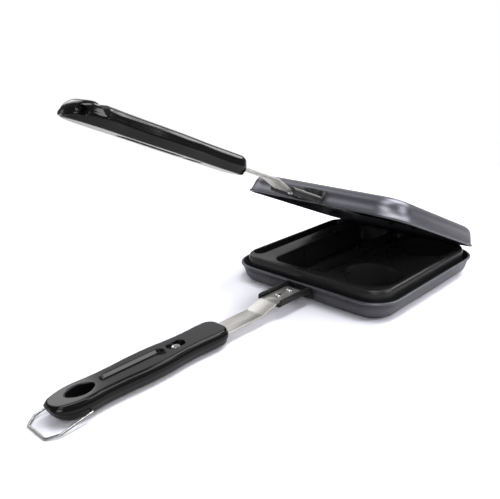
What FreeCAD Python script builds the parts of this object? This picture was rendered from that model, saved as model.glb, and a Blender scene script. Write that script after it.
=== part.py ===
import FreeCAD, Part
import math
import os

os.makedirs("parts", exist_ok=True)

# Pie iron: two square pan halves hinged at the back, each on its own long handle.
# Millimetres. The origin is the middle of the flat base of the lower pan.
# X runs across the pan, the handles point to -Y, the hinge is at +Y, and Z is up.
# Each upper piece is worked out upside down over the lower half, as if the iron were
# shut and turned over, then flipped about the parting plane and opened to the rest pose.

Vec = FreeCAD.Vector

# Pan shells
shell_width = 140.0
shell_depth = 142.0
shell_height = 14.8
shell_wall = 1.4
shell_corner_radius = 21.0
shell_draft_deg = 15.0
shell_base_radius = 5.0
lip_height = 1.8
lip_proud = 0.7

# The shut iron, and how far it stands open at rest
rim_gap = 0.4
rest_opening_deg = 23.1

# Cooking plates: a deep lower one that stands into the lid, a shallow upper one.
# Across a plate lie, from the left: groove, long well, groove and the two bowls.
plate_wall = 2.2
plate_inset = 4.6
plate_side_draft_deg = 3.0
plate_corner_radius = 17.0
plate_edge_radius = 3.4
lower_land_rise = 6.5
lower_skirt_depth = 14.0
upper_skirt_depth = 3.4
land_gap = 0.5
outer_strip = 4.2
well_strip = 15.8
middle_strip = 5.8
bowl_strip = 4.5
well_end_margin = 11.5
well_slope_deg = 24.0
well_corner_radius = 8.0
well_floor_radius = 1.2
lower_well_depth = 13.0
upper_well_over_floor = 1.2
bowl_from_end = 33.0
bowl_cup_floor_share = 0.62
lower_bowl_depth = 12.0
upper_bowl_over_floor = 0.9
groove_width = 9.4
groove_end_margin = 13.5
lower_groove_depth = 5.0
upper_groove_depth = 1.4

# Plate screws, their pockets and the shell bosses that take them
plate_screw_from_end = 20.5
pocket_radius = 5.4
pocket_wall = 1.1
lower_pocket_depth = 8.2
upper_boss_height = 1.7
screw_head_radius = 3.1
screw_head_height = 1.9
screw_top_share = 0.78
screw_shaft_radius = 1.5
screw_cross_length = 4.2
screw_cross_width = 0.8
screw_cross_depth = 0.9
lower_screw_length = 8.0
upper_screw_length = 4.2
boss_radius = 4.2

# Handle brackets: channels with a foot on the front wall of each shell
bracket_sheet = 1.6
bracket_width = 21.0
bracket_height = 5.2
bracket_bend_radius = 2.4
bracket_under_rim = 5.6
bracket_length = 33.0
bracket_nose_radius = 1.8
bracket_foot_depth = 8.4
foot_rivet_pitch = 12.0
foot_rivet_from_edge = 2.6

# Straps between bracket and handle
strap_width = 15.0
strap_thickness = 1.5
strap_from_wall = 6.0
strap_joggle_from_bracket = 0.8
strap_joggle_length = 14.0
strap_drop = 3.8
strap_bend_radius = 5.0
strap_corner_radius = 3.0
strap_in_handle = 43.0

# Rivets
rivet_head_radius = 2.5
rivet_head_height = 1.7
rivet_top_share = 0.55
rivet_shank_radius = 1.6
rivet_tail_height = 0.8
strap_rivet_pitch = 12.0
strap_rivet_from_wall = 11.7

# Handles
handle_from_wall = 79.5
handle_length = 119.5
handle_half_width = 11.4
handle_thickness = 11.4
handle_under_parting = 2.2
handle_face_radius = 1.9
handle_back_radius = 4.4
handle_face_draw = 0.5
handle_back_draw = 0.4
handle_front_half = 4.9
handle_front_radius = 5.2
handle_nose_radius = 6.5
handle_heel_radius = 8.0
thumb_groove_width = 8.6
thumb_groove_length = 46.0
thumb_groove_depth = 2.1
thumb_groove_from_rear = 28.5
handle_screw_from_front = 37.5
handle_screw_length = 6.6
handle_pocket_length = 13.0
handle_pocket_width = 7.6
handle_pocket_depth = 2.7
eye_hole_length = 15.0
eye_hole_width = 9.6
eye_hole_from_rear = 16.6
notch_from_rear = 18.4
notch_depth = 6.3
notch_mouth = 5.4
side_hole_from_rear = 6.4
side_hole_radius = 2.2
side_dish_radius = 4.6
side_dish_depth = 5.0

# Wire latch that swings on the lower handle
wire_radius = 0.75
latch_from_rear = 15.6
latch_over_table = 5.6
latch_half_width = 12.7
latch_tip_half_width = 8.6
latch_leg = 20.0
latch_reach = 26.2
latch_pin_depth = 3.4
latch_bend = 1.6

# Hinge
hinge_from_wall = 3.9
hinge_width = 36.0
hinge_sheet = 1.5
hinge_pin_radius = 1.5
hinge_knuckle_radius = 2.9
hinge_middle_width = 13.6
hinge_leaf_depth = 8.6
hinge_web_depth = 4.5
hinge_rivet_pitch = 22.0
hinge_rivet_from_edge = 2.9
pin_head_radius = 2.3
pin_head_thickness = 1.1

# Fits
fit_gap = 0.05
seat_gap = 0.12
knuckle_gap = 0.35
wire_floor_gap = 0.05
overrun = 5.0
same_point = 0.005

# Widest and narrowest places of a handle: distance from its front end, of its length,
# and half width, of its largest half width
handle_swell_shares = [(0.075, 0.930), (0.230, 0.868), (0.477, 1), (0.753, 0.886), (0.862, 0.947)]
# What the long well takes of the width that it shares with a bowl
well_width_share = 0.4258
# How finely rounds are stepped into flats: along outlines, up walls and round small bores
arc_step_deg = 11.25
hidden_step_deg = 30.0
foot_steps = 3
edge_steps = 2
bowl_steps = 4
bowl_sides = 28
cup_sides = 12
bar_sides = 10
# Hinge leaf web: its two points on the knuckle, of the knuckle radius
web_on_knuckle_shares = [(-0.80, -0.55), (0.20, -0.95)]

# Worked out places
draft = math.radians(shell_draft_deg)
wall_run = shell_wall / math.cos(draft)
parting_z = shell_height + rim_gap / 2
front_y = -shell_depth / 2
hinge_y = shell_depth / 2 + hinge_from_wall
lower_land_z = shell_height + lower_land_rise
upper_land_z = 2 * parting_z - lower_land_z - land_gap
web_low_z = shell_height - bracket_under_rim
web_top_z = web_low_z + bracket_sheet
strap_handle_z = web_top_z - strap_drop
face_z = parting_z - handle_under_parting
back_z = face_z - handle_thickness
handle_front_y = front_y - handle_from_wall
handle_rear_y = handle_front_y - handle_length
handle_screw_y = handle_front_y - handle_screw_from_front
latch_y = handle_rear_y + latch_from_rear
wall_start = (lip_height + fit_gap) / math.cos(draft)
plate_width = shell_width - 2 * plate_inset
plate_depth = shell_depth - 2 * plate_inset
plate_slope = math.radians(plate_side_draft_deg)
strips = 2 * outer_strip + well_strip + middle_strip + bowl_strip
shared_width = plate_width - strips - 2 * groove_width
long_well_width = shared_width * well_width_share
bowl_radius = (shared_width - long_well_width) / 2
side_groove_x = -plate_width / 2 + outer_strip + groove_width / 2
long_well_x = side_groove_x + groove_width / 2 + well_strip + long_well_width / 2
middle_groove_x = long_well_x + long_well_width / 2 + middle_strip + groove_width / 2
bowl_x = plate_width / 2 - outer_strip - bowl_radius
upper_well_depth = upper_land_z - shell_wall - upper_well_over_floor - plate_wall
upper_bowl_depth = upper_land_z - shell_wall - upper_bowl_over_floor - plate_wall
upper_pocket_depth = upper_land_z - shell_wall - upper_boss_height - plate_wall
well_slope = math.radians(well_slope_deg)
well_length = shell_depth - 2 * well_end_margin
groove_length = shell_depth - 2 * groove_end_margin
bowl_y = shell_depth / 2 - bowl_from_end
plate_screw_y = shell_depth / 2 - plate_screw_from_end
x_axis = Vec(1, 0, 0)
z_axis = Vec(0, 0, 1)


def rounded_rectangle(width, depth, radius):
    """The outline of a rectangle with round corners about the Z axis, anticlockwise.

    An outline is a list of (start, centre, angle) arcs and (start, end) lines.
    """
    a = width / 2
    b = depth / 2
    centres = [(a - radius, -b + radius), (a - radius, b - radius),
               (-a + radius, b - radius), (-a + radius, -b + radius)]
    outline = []
    for step, (x, y) in enumerate(centres):
        across = turned(Vec(0, -radius, 0), step * 90)
        ahead = turned(across, 90)
        after = centres[(step + 1) % 4]
        outline.append((Vec(x, y, 0) + across, Vec(x, y, 0), 90))
        outline.append((Vec(x, y, 0) + ahead, Vec(after[0], after[1], 0) + ahead))
    return outline


def slot_outline(width, length):
    """The outline of a slot with round ends, long in Y, about the Z axis."""
    radius = width / 2
    reach = length / 2 - radius
    return [
        (Vec(radius, -reach, 0), Vec(radius, reach, 0)),
        (Vec(radius, reach, 0), Vec(0, reach, 0), 180),
        (Vec(-radius, reach, 0), Vec(-radius, -reach, 0)),
        (Vec(-radius, -reach, 0), Vec(0, -reach, 0), 180),
    ]


def turned(vector, angle_deg):
    """A vector turned about the Z axis."""
    return FreeCAD.Rotation(z_axis, angle_deg).multVec(vector)


def inward(element):
    """The unit direction into the outline at the start of one of its elements."""
    if len(element) == 2:
        return turned(element[1] - element[0], 90).normalize()
    start, centre, angle = element
    return (centre - start).normalize() * math.copysign(1, angle)


def corner_points(outline, draw_in, z, step_deg):
    """The corners of an outline drawn in by a distance, its arcs stepped into flats."""
    points = []
    for element in outline:
        shift = inward(element) * draw_in + Vec(0, 0, z)
        points.append(element[0] + shift)
        if len(element) == 3:
            centre = element[1] + Vec(0, 0, z)
            radius = element[0] + shift - centre
            steps = math.ceil(abs(element[2]) / step_deg)
            points += [centre + turned(radius, element[2] * k / steps) for k in range(1, steps)]
            continue
        points.append(element[1] + shift)
    return [b for a, b in zip(points[-1:] + points, points) if (b - a).Length > same_point]


def stacked_block(levels):
    """A solid through levels of matching corners, each level flat, from the bottom up."""
    faces = [Part.Face(Part.makePolygon(level + level[:1])) for level in (levels[0], levels[-1])]
    for low, high in zip(levels, levels[1:]):
        corners = zip(low, low[1:] + low[:1], high[1:] + high[:1], high)
        faces += [Part.Face(Part.makePolygon([a, b, c, d, a])) for a, b, c, d in corners]
    skin = Part.makeCompound(faces)
    skin.sewShape()
    block = Part.Solid(Part.Shell(skin.Faces))
    if block.Volume < 0:
        block.reverse()
    return block


def walled_block(outline, profile, step_deg=arc_step_deg):
    """A block whose wall profile runs all round an outline.

    The profile is a list of (draw-in, z) points from the bottom to the top.
    """
    return stacked_block([corner_points(outline, draw_in, z, step_deg) for draw_in, z in profile])


def turned_block(profile, sides):
    """A solid about the Z axis through (radius, z) levels, stepped into flat sides."""
    angles = [360 * side / sides for side in range(sides)]
    rings = [[turned(Vec(radius, 0, 0), angle) for angle in angles] for radius, _ in profile]
    return stacked_block([[corner + Vec(0, 0, z) for corner in ring]
                          for ring, (_, z) in zip(rings, profile)])


def bar(radius, length, start=Vec(0, 0, 0), axis=Vec(0, 0, 1)):
    """A small round bar or drill from a start point along an axis."""
    piece = turned_block([(radius, 0), (radius, length)], bar_sides)
    piece.Placement = FreeCAD.Placement(start, FreeCAD.Rotation(z_axis, axis))
    return piece


def narrowing(height, slope, radius, steps):
    """A sloping wall whose narrow edge is rounded in flat steps.

    Gives (draw-in from the wide end, distance from the narrow face), narrow end first.
    """
    tangent = radius * (1 - math.sin(slope))
    centre = (height - tangent) * math.tan(slope) + radius * math.cos(slope)
    turns = [(math.pi / 2 - slope) * step / steps for step in range(steps + 1)]
    points = [(centre - radius * math.sin(turn), radius * (1 - math.cos(turn))) for turn in turns]
    return points + [(0, height)]


def moved(shape, x, y, z=0.0):
    """A copy of a shape moved by x, y and z."""
    copy = shape.copy()
    copy.translate(Vec(x, y, z))
    return copy


def bent_path(points, radius):
    """Straight runs through the points, joined by tangent arcs of one radius."""
    edges = []
    start = points[0]
    for before, corner, after in zip(points, points[1:], points[2:]):
        back = (before - corner).normalize()
        ahead = (after - corner).normalize()
        half = back.getAngle(ahead) / 2
        centre = corner + (back + ahead).normalize() * (radius / math.sin(half))
        middle = centre + (corner - centre).normalize() * radius
        enter = corner + back * (radius / math.tan(half))
        leave = corner + ahead * (radius / math.tan(half))
        edges.append(Part.LineSegment(start, enter).toShape())
        edges.append(Part.Arc(enter, middle, leave).toShape())
        start = leave
    edges.append(Part.LineSegment(start, points[-1]).toShape())
    return Part.Wire(edges)


def prism_along_x(points, low_x, high_x):
    """A polygon given in Y and Z, extruded along X."""
    corners = [Vec(low_x, y, z) for y, z in points]
    outline = Part.makePolygon(corners + corners[:1])
    return Part.Face(outline).extrude(Vec(high_x - low_x, 0, 0))


def rivet(grip):
    """A rivet along Z: head above Z = 0, shank down through grip, flat tail below."""
    shank = bar(rivet_shank_radius, grip, Vec(0, 0, -grip))
    tail = bar(rivet_head_radius, rivet_tail_height, Vec(0, 0, -grip - rivet_tail_height))
    head = turned_block([(rivet_head_radius, 0), (rivet_head_radius * rivet_top_share, rivet_head_height)],
                        bar_sides)
    return head.fuse([shank, tail]).removeSplitter()


def cross_screw(length):
    """A screw along Z: head above Z = 0 with a cross recess, shaft below."""
    shaft = bar(screw_shaft_radius, length, Vec(0, 0, -length))
    low_z = screw_head_height - screw_cross_depth
    a = screw_cross_length / 2
    b = screw_cross_width / 2
    arms = [(a, b), (b, a)]
    cross = [Part.makeBox(2 * u, 2 * v, overrun, Vec(-u, -v, low_z)) for u, v in arms]
    head = turned_block([(screw_head_radius, 0), (screw_head_radius * screw_top_share, screw_head_height)],
                        bar_sides)
    return head.fuse(shaft).removeSplitter().cut(cross)


def on_wall(shape, x, down, side, out=0.0):
    """Set a piece on the front (side -1) or rear (side 1) wall, its Z axis outwards.

    down is measured from the rim along the slope, and out from the wall's face.
    """
    y = side * (shell_depth / 2 - down * math.sin(draft) + out * math.cos(draft))
    z = shell_height - down * math.cos(draft) - out * math.sin(draft)
    turn = FreeCAD.Rotation(x_axis, -side * (90 + shell_draft_deg))
    piece = shape.copy()
    piece.Placement = FreeCAD.Placement(Vec(x, y, z), turn).multiply(shape.Placement)
    return piece


def wall_plate(width, depth, sheet, down, side):
    """A flat plate against the sloping wall, its upper edge at the distance down."""
    low = 0 if side > 0 else -depth
    return on_wall(Part.makeBox(width, depth, sheet, Vec(-width / 2, low, 0)), 0, down, side)


def shell_outline():
    return rounded_rectangle(shell_width, shell_depth, shell_corner_radius)


def shell_envelope():
    """The outside of a shell: sloping walls, a round base edge and the rim's bead."""
    body = walled_block(shell_outline(), narrowing(shell_height, draft, shell_base_radius, foot_steps))
    lip_levels = [(-lip_proud, shell_height - lip_height), (-lip_proud, shell_height)]
    lip = walled_block(shell_outline(), lip_levels)
    return body.fuse(lip)


def shell_hollow():
    """The inside of a shell, open at the rim."""
    height = shell_height + overrun - shell_wall
    wall = wall_run - overrun * math.tan(draft)
    steps = narrowing(height, draft, shell_base_radius - shell_wall, edge_steps)
    return walled_block(shell_outline(), [(wall + draw_in, shell_wall + z) for draw_in, z in steps])


def plate_screw_places():
    return [(x, y) for x in (side_groove_x, middle_groove_x) for y in (-plate_screw_y, plate_screw_y)]


def foot_rivet_spots():
    """Wall places of the bracket's foot rivets: x and distance down the wall."""
    down = wall_start + bracket_foot_depth - foot_rivet_from_edge
    return [(s * foot_rivet_pitch / 2, down) for s in (-1, 1)]


def hinge_rivet_spots():
    """Wall places of the hinge leaf's rivets: x and distance down the wall."""
    down = wall_start + hinge_leaf_depth - hinge_rivet_from_edge
    return [(s * hinge_rivet_pitch / 2, down) for s in (-1, 1)]


def wall_rivets(spots, side, sheet):
    """Rivets through a sheet and the shell wall, heads outside."""
    return [on_wall(rivet(sheet + shell_wall), x, down, side, sheet) for x, down in spots]


def wall_holes(spots, side, out):
    """Clearance holes for wall rivets, through everything near the wall."""
    radius = rivet_shank_radius + fit_gap
    drill = bar(radius, 2 * overrun, Vec(0, 0, -overrun))
    return [on_wall(drill, x, down, side, out) for x, down in spots]


def shell(land_z, pocket_depth, screw_length):
    """A pan shell with four bosses that carry the cooking plate."""
    boss_top = land_z - pocket_depth - plate_wall
    bore_low = land_z - pocket_depth - screw_length - seat_gap
    boss_low = shell_wall / 2
    bore_radius = screw_shaft_radius + fit_gap
    bosses = []
    bores = []
    for x, y in plate_screw_places():
        bosses.append(bar(boss_radius, boss_top - boss_low, Vec(x, y, boss_low)))
        bores.append(bar(bore_radius, boss_top - bore_low + overrun, Vec(x, y, bore_low)))
    body = shell_envelope().cut(shell_hollow()).fuse(bosses)
    holes = wall_holes(foot_rivet_spots(), -1, 0) + wall_holes(hinge_rivet_spots(), 1, 0)
    return body.cut(bores + holes).removeSplitter()


def bowl(depth):
    """A round bowl below Z = 0: a ball's cap with a small flat floor."""
    ball = (bowl_radius ** 2 + depth ** 2) / (2 * depth)
    last = math.asin(bowl_radius / ball)
    turns = [last * step / bowl_steps for step in range(1, bowl_steps + 1)]
    drop = depth / (math.cos(turns[0]) - math.cos(last))
    levels = [(ball * math.sin(t), -drop * (math.cos(t) - math.cos(last))) for t in turns]
    return turned_block(levels, bowl_sides)


def plate_cavities(land_z, well_depth, bowl_depth, groove_depth, pocket_depth):
    """What is hollowed out of a cooking plate from its land down."""
    outline = rounded_rectangle(long_well_width, well_length, well_corner_radius)
    sides = narrowing(well_depth, well_slope, well_floor_radius, 1)
    well = walled_block(outline, [(draw_in, land_z - well_depth + z) for draw_in, z in sides])
    groove_levels = [(0, land_z - groove_depth), (0, land_z)]
    groove = walled_block(slot_outline(groove_width, groove_length), groove_levels)
    pocket = turned_block([(pocket_radius, land_z - pocket_depth), (pocket_radius, land_z)], cup_sides)
    hollows = [moved(well, long_well_x, 0)]
    hollows += [moved(bowl(bowl_depth), bowl_x, y, land_z) for y in (-bowl_y, bowl_y)]
    hollows += [moved(groove, x, 0) for x in (side_groove_x, middle_groove_x)]
    hollows += [moved(pocket, x, y) for x, y in plate_screw_places()]
    return hollows


def plate_cups(land_z, well_depth, bowl_depth, groove_depth, pocket_depth):
    """The undersides of those hollows, one wall thickness away."""
    top_z = land_z - plate_wall / 2

    def pillar(outline, draw_in, depth):
        levels = [(draw_in - plate_wall, land_z - depth - plate_wall), (-plate_wall, top_z)]
        return walled_block(outline, levels, hidden_step_deg)

    well = pillar(rounded_rectangle(long_well_width, well_length, well_corner_radius),
                  well_depth * math.tan(well_slope), well_depth)
    groove = pillar(slot_outline(groove_width, groove_length), 0, groove_depth)
    cup = turned_block([(bowl_radius * bowl_cup_floor_share + plate_wall, land_z - bowl_depth - plate_wall),
                        (bowl_radius + plate_wall, top_z)], cup_sides)
    seat_radius = pocket_radius + pocket_wall
    seat_low = land_z - pocket_depth - plate_wall
    seat = turned_block([(seat_radius, seat_low), (seat_radius, top_z)], cup_sides)
    cups = [moved(well, long_well_x, 0)]
    cups += [moved(cup, bowl_x, y) for y in (-bowl_y, bowl_y)]
    cups += [moved(groove, x, 0) for x in (side_groove_x, middle_groove_x)]
    cups += [moved(seat, x, y) for x, y in plate_screw_places()]
    return cups


def cooking_plate(land_z, skirt_depth, well_depth, bowl_depth, groove_depth, pocket_depth):
    """A cast plate of even wall: land, skirt, long well, two bowls and screw grooves."""
    outline = rounded_rectangle(plate_width, plate_depth, plate_corner_radius)
    sides = narrowing(skirt_depth, plate_slope, plate_edge_radius, foot_steps)
    block = walled_block(outline, [(draw_in, land_z - drop) for draw_in, drop in reversed(sides)])
    low_z = land_z - skirt_depth
    under = plate_wall + (skirt_depth - plate_wall) * math.tan(plate_slope)
    hollow = walled_block(outline, [(plate_wall, low_z - overrun), (plate_wall, low_z),
                                    (under, land_z - plate_wall)], hidden_step_deg)
    depths = (well_depth, bowl_depth, groove_depth, pocket_depth)
    body = block.cut(hollow).fuse(plate_cups(land_z, *depths)).cut(plate_cavities(land_z, *depths))
    drill_z = land_z - pocket_depth - plate_wall - overrun
    drill = bar(screw_shaft_radius + seat_gap, plate_wall + 2 * overrun, Vec(0, 0, drill_z))
    return body.cut([moved(drill, x, y) for x, y in plate_screw_places()]).removeSplitter()


def plate_screws(land_z, pocket_depth, length):
    screws = []
    for x, y in plate_screw_places():
        screw = cross_screw(length)
        screw.translate(Vec(x, y, land_z - pocket_depth))
        screws.append(screw)
    return screws


def channel_outline(y):
    """The bracket's U section at one Y: round outer and inner bends, open upwards."""
    a = bracket_width / 2
    t = bracket_sheet
    r = bracket_bend_radius
    high_z = web_low_z + bracket_height
    k = math.sqrt(0.5)
    low = web_low_z
    edges = []

    def line(x0, z0, x1, z1):
        edges.append(Part.LineSegment(Vec(x0, y, z0), Vec(x1, y, z1)).toShape())

    def bend(side, radius, x0, z0, x1, z1):
        middle = Vec(side * (a - r + radius * k), y, low + r - radius * k)
        edges.append(Part.Arc(Vec(x0, y, z0), middle, Vec(x1, y, z1)).toShape())

    line(-a, high_z, -a, low + r)
    bend(-1, r, -a, low + r, -a + r, low)
    line(-a + r, low, a - r, low)
    bend(1, r, a - r, low, a, low + r)
    line(a, low + r, a, high_z)
    line(a, high_z, a - t, high_z)
    line(a - t, high_z, a - t, low + r)
    bend(1, r - t, a - t, low + r, a - r, low + t)
    line(a - r, low + t, -a + r, low + t)
    bend(-1, r - t, -a + r, low + t, -a + t, low + r)
    line(-a + t, low + r, -a + t, high_z)
    line(-a + t, high_z, -a, high_z)
    return Part.Wire(edges)


def strap_rivet_places():
    first = front_y - strap_rivet_from_wall
    return [first, first - strap_rivet_pitch]


def bracket(envelope):
    """A pressed channel whose foot lies on the shell's front wall."""
    nose_y = front_y - bracket_length
    channel = Part.Face(channel_outline(nose_y)).extrude(Vec(0, bracket_length + overrun, 0))
    high_z = web_low_z + bracket_height
    noses = []
    for edge in channel.Edges:
        middle = edge.CenterOfMass
        if abs(middle.y - nose_y) < fit_gap and abs(middle.z - high_z) < fit_gap:
            noses.append(edge)
    channel = channel.makeFillet(bracket_nose_radius, noses)
    foot = wall_plate(bracket_width, bracket_foot_depth, bracket_sheet, wall_start, -1)
    body = channel.fuse(foot).cut(envelope)
    drills = wall_holes(foot_rivet_spots(), -1, 0)
    for y in strap_rivet_places():
        radius = rivet_shank_radius + fit_gap
        drills.append(bar(radius, 2 * overrun, Vec(0, y, web_low_z - overrun)))
    return body.cut(drills).removeSplitter()


def strap():
    """A flat bar with a joggle from the bracket's web down to the handle's middle."""
    high_z = web_top_z + strap_thickness / 2
    low_z = strap_handle_z + strap_thickness / 2
    joggle_y = front_y - bracket_length - strap_joggle_from_bracket
    points = [
        Vec(0, front_y - strap_from_wall, high_z),
        Vec(0, joggle_y, high_z),
        Vec(0, joggle_y - strap_joggle_length, low_z),
        Vec(0, handle_front_y - strap_in_handle, low_z),
    ]
    a = strap_width / 2
    b = strap_thickness / 2
    start_y = points[0].y
    corners = [Vec(-a, start_y, high_z - b), Vec(a, start_y, high_z - b),
               Vec(a, start_y, high_z + b), Vec(-a, start_y, high_z + b)]
    section = Part.makePolygon(corners + corners[:1])
    strip = bent_path(points, strap_bend_radius).makePipeShell([section], True, False)
    ends = []
    for edge in strip.Edges:
        box = edge.BoundBox
        upright = box.ZLength > strap_thickness / 2 and box.YLength < fit_gap
        if upright and min(abs(box.YMin - start_y), abs(box.YMin - points[-1].y)) < fit_gap:
            ends.append(edge)
    strip = strip.makeFillet(strap_corner_radius, ends)
    drills = []
    for y in strap_rivet_places():
        drills.append(bar(rivet_shank_radius + fit_gap, 2 * overrun, Vec(0, y, high_z - overrun)))
    screw_hole = screw_shaft_radius + seat_gap
    drills.append(bar(screw_hole, 2 * overrun, Vec(0, handle_screw_y, low_z - overrun)))
    return strip.cut(drills)


def half_rivets():
    """The six like rivets of one half: strap, bracket foot and hinge leaf."""
    rivets = [moved(rivet(strap_thickness + bracket_sheet), 0, y, web_top_z + strap_thickness)
              for y in strap_rivet_places()]
    rivets += wall_rivets(foot_rivet_spots(), -1, bracket_sheet)
    rivets += wall_rivets(hinge_rivet_spots(), 1, hinge_sheet)
    return rivets


def tangent_pair(low, high):
    """Two equal tangent arcs up a right-hand side, both ends of the pair along Y."""
    (a1, y1), (a2, y2) = low, high
    rise = a2 - a1
    run = y2 - y1
    radius = (run ** 2 + rise ** 2) / (4 * abs(rise))
    turn = math.degrees(math.asin(run / 2 / radius))
    bulge = math.copysign(radius, rise)
    middle = Vec((a1 + a2) / 2, (y1 + y2) / 2, 0)
    first = (Vec(a1, y1, 0), Vec(a1 + bulge, y1, 0), math.copysign(turn, -rise))
    second = (middle, Vec(a2 - bulge, y2, 0), math.copysign(turn, rise))
    return [first, second]


def handle_outline():
    """A handle seen from its face: round nose, lobe, two waists, palm swell, round front.

    Every stretch is an arc tangent to the next, but for the flat front end.
    """
    swells = [(half_share * handle_half_width, handle_front_y - along_share * handle_length)
              for along_share, half_share in reversed(handle_swell_shares)]
    lobe_half, lobe_y = swells[0]
    front_half, front_swell_y = swells[-1]

    # Rear: a nose arc on the axis and a larger arc that meets it and the lobe
    nose = Vec(0, handle_rear_y + handle_nose_radius, 0)
    reach = lobe_y - nose.y
    spread = lobe_half - handle_nose_radius
    radius = (reach ** 2 + lobe_half ** 2 - handle_nose_radius ** 2) / (2 * spread)
    side = Vec(lobe_half - radius, lobe_y, 0)
    touch = nose + (nose - side).normalize() * handle_nose_radius
    lift = math.degrees(math.atan2(side.y - nose.y, nose.x - side.x))
    right = [(touch, side, lift)]
    for low, high in zip(swells, swells[1:]):
        right += tangent_pair(low, high)

    # Front: a large arc from the last swell and a corner arc down to the flat end
    corner = Vec(handle_front_half, handle_front_y - handle_front_radius, 0)
    out = front_half - handle_front_half
    reach = corner.y - front_swell_y
    radius = (out ** 2 + reach ** 2 - handle_front_radius ** 2) / (2 * (out - handle_front_radius))
    side = Vec(front_half - radius, front_swell_y, 0)
    turn = math.degrees(math.atan2(reach, corner.x - side.x))
    right.append((Vec(front_half, front_swell_y, 0), side, turn))
    meet = side + turned(Vec(radius, 0, 0), turn)
    right.append((meet, corner, 90 - turn))

    # The left side is the right one mirrored and run the other way
    left = []
    for start, centre, angle in reversed(right):
        end = centre + turned(start - centre, angle)
        left.append((Vec(-end.x, end.y, 0), Vec(-centre.x, centre.y, 0), angle))
    flat = (Vec(handle_front_half, handle_front_y, 0), Vec(-handle_front_half, handle_front_y, 0))
    nose_arc = (Vec(-touch.x, touch.y, 0), nose, 180 - 2 * lift)
    return right + [flat] + left + [nose_arc]


def heel_trim():
    """What the rounded heel leaves out below the handle's rear end."""
    reach = handle_half_width + overrun
    roll = turned_block([(handle_heel_radius, 0), (handle_heel_radius, 2 * reach)], bowl_sides)
    start = Vec(-reach, handle_rear_y + handle_heel_radius, back_z + handle_heel_radius)
    roll.Placement = FreeCAD.Placement(start, FreeCAD.Rotation(z_axis, x_axis))
    side = handle_heel_radius + overrun
    block = Part.makeBox(2 * reach, side, side, Vec(-reach, handle_rear_y - overrun, back_z - overrun))
    return block.cut(roll)


def handle_blank():
    """The moulded grip: flat face, bowed sides and a round back, all round its outline."""
    back = narrowing(handle_thickness / 2, 0, handle_back_radius, foot_steps)[:-1]
    face = narrowing(handle_thickness / 2, 0, handle_face_radius, edge_steps)[:-1]
    profile = [(handle_back_draw + draw_in, back_z + z) for draw_in, z in back]
    profile.append((0, (back_z + face_z) / 2))
    profile += [(handle_face_draw + draw_in, face_z - z) for draw_in, z in reversed(face)]
    return walled_block(handle_outline(), profile).cut(heel_trim())


def strap_slot():
    """The slot in the handle's front end that takes the strap."""
    width = strap_width + 2 * seat_gap
    height = strap_thickness + 2 * fit_gap
    length = strap_in_handle + seat_gap + overrun
    corner = Vec(-width / 2, handle_front_y + overrun - length, strap_handle_z - fit_gap)
    return Part.makeBox(width, length, height, corner)


def thumb_groove():
    """A long scoop in the handle's face with sloping, stepped sides."""
    outline = slot_outline(thumb_groove_width, thumb_groove_length)
    sides = narrowing(thumb_groove_depth, well_slope, thumb_groove_depth / 2, edge_steps)
    scoop = walled_block(outline, [(draw_in, face_z - thumb_groove_depth + z) for draw_in, z in sides])
    return moved(scoop, 0, handle_rear_y + thumb_groove_from_rear + thumb_groove_length / 2)


def handle_screw_room():
    """The oval pocket in the face and the bore for the handle's screw."""
    floor_z = face_z - handle_pocket_depth
    outline = slot_outline(handle_pocket_width, handle_pocket_length)
    pocket = walled_block(outline, [(0, floor_z), (0, face_z)])
    depth = handle_screw_length + seat_gap
    radius = screw_shaft_radius + fit_gap
    bore = bar(radius, depth, Vec(0, handle_screw_y, floor_z - depth))
    return [moved(pocket, 0, handle_screw_y), bore]


def handle_screw():
    screw = cross_screw(handle_screw_length)
    screw.translate(Vec(0, handle_screw_y, face_z - handle_pocket_depth))
    return screw


def eye_hole():
    """The lower handle's hanging hole: two arcs that meet at its front and rear."""
    a = eye_hole_width / 2
    b = eye_hole_length / 2
    radius = (a ** 2 + b ** 2) / (2 * a)
    turn = 2 * math.degrees(math.asin(b / radius))
    y = handle_rear_y + eye_hole_from_rear
    rear = Vec(0, y - b, 0)
    front = Vec(0, y + b, 0)
    outline = [(rear, Vec(a - radius, y, 0), turn), (front, Vec(radius - a, y, 0), turn)]
    return [walled_block(outline, [(0, back_z), (0, face_z)])]


def latch_holes():
    """Blind holes in the lower handle's sides for the ends of the wire latch."""
    start = handle_half_width - latch_pin_depth - seat_gap
    holes = []
    for s in (-1, 1):
        base = Vec(s * start, latch_y, latch_over_table)
        holes.append(Part.makeCylinder(wire_radius + fit_gap, 2 * overrun, base, x_axis * s))
    return holes


def latch_notch():
    """The notch across the upper handle's back that catches the wire."""
    y = handle_rear_y + notch_from_rear
    top_z = back_z + notch_depth
    low_z = back_z - overrun
    seat_radius = wire_radius + seat_gap
    spread = notch_mouth * (notch_depth + overrun) / notch_depth
    wedge = prism_along_x([(y - spread, low_z), (y, top_z), (y, low_z)],
                          -handle_half_width - overrun, handle_half_width + overrun)
    length = 2 * (handle_half_width + overrun)
    seat_z = top_z - 2 * seat_radius
    base = Vec(-length / 2, y - seat_radius, seat_z)
    return [wedge, bar(seat_radius, length, base, x_axis)]


def side_hanging_hole():
    """The upper handle's cross hole for hanging, dished at both sides."""
    y = handle_rear_y + side_hole_from_rear
    z = back_z + handle_thickness / 2
    reach = handle_half_width + overrun
    tools = [bar(side_hole_radius, 2 * reach, Vec(-reach, y, z), x_axis)]
    flare = (side_dish_radius - side_hole_radius) / side_dish_depth
    for s in (-1, 1):
        start = handle_nose_radius - side_dish_depth
        length = reach - start
        dish = turned_block([(side_hole_radius, 0), (side_hole_radius + flare * length, length)], cup_sides)
        dish.Placement = FreeCAD.Placement(Vec(s * start, y, z), FreeCAD.Rotation(z_axis, x_axis * s))
        tools.append(dish)
    return tools


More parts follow.
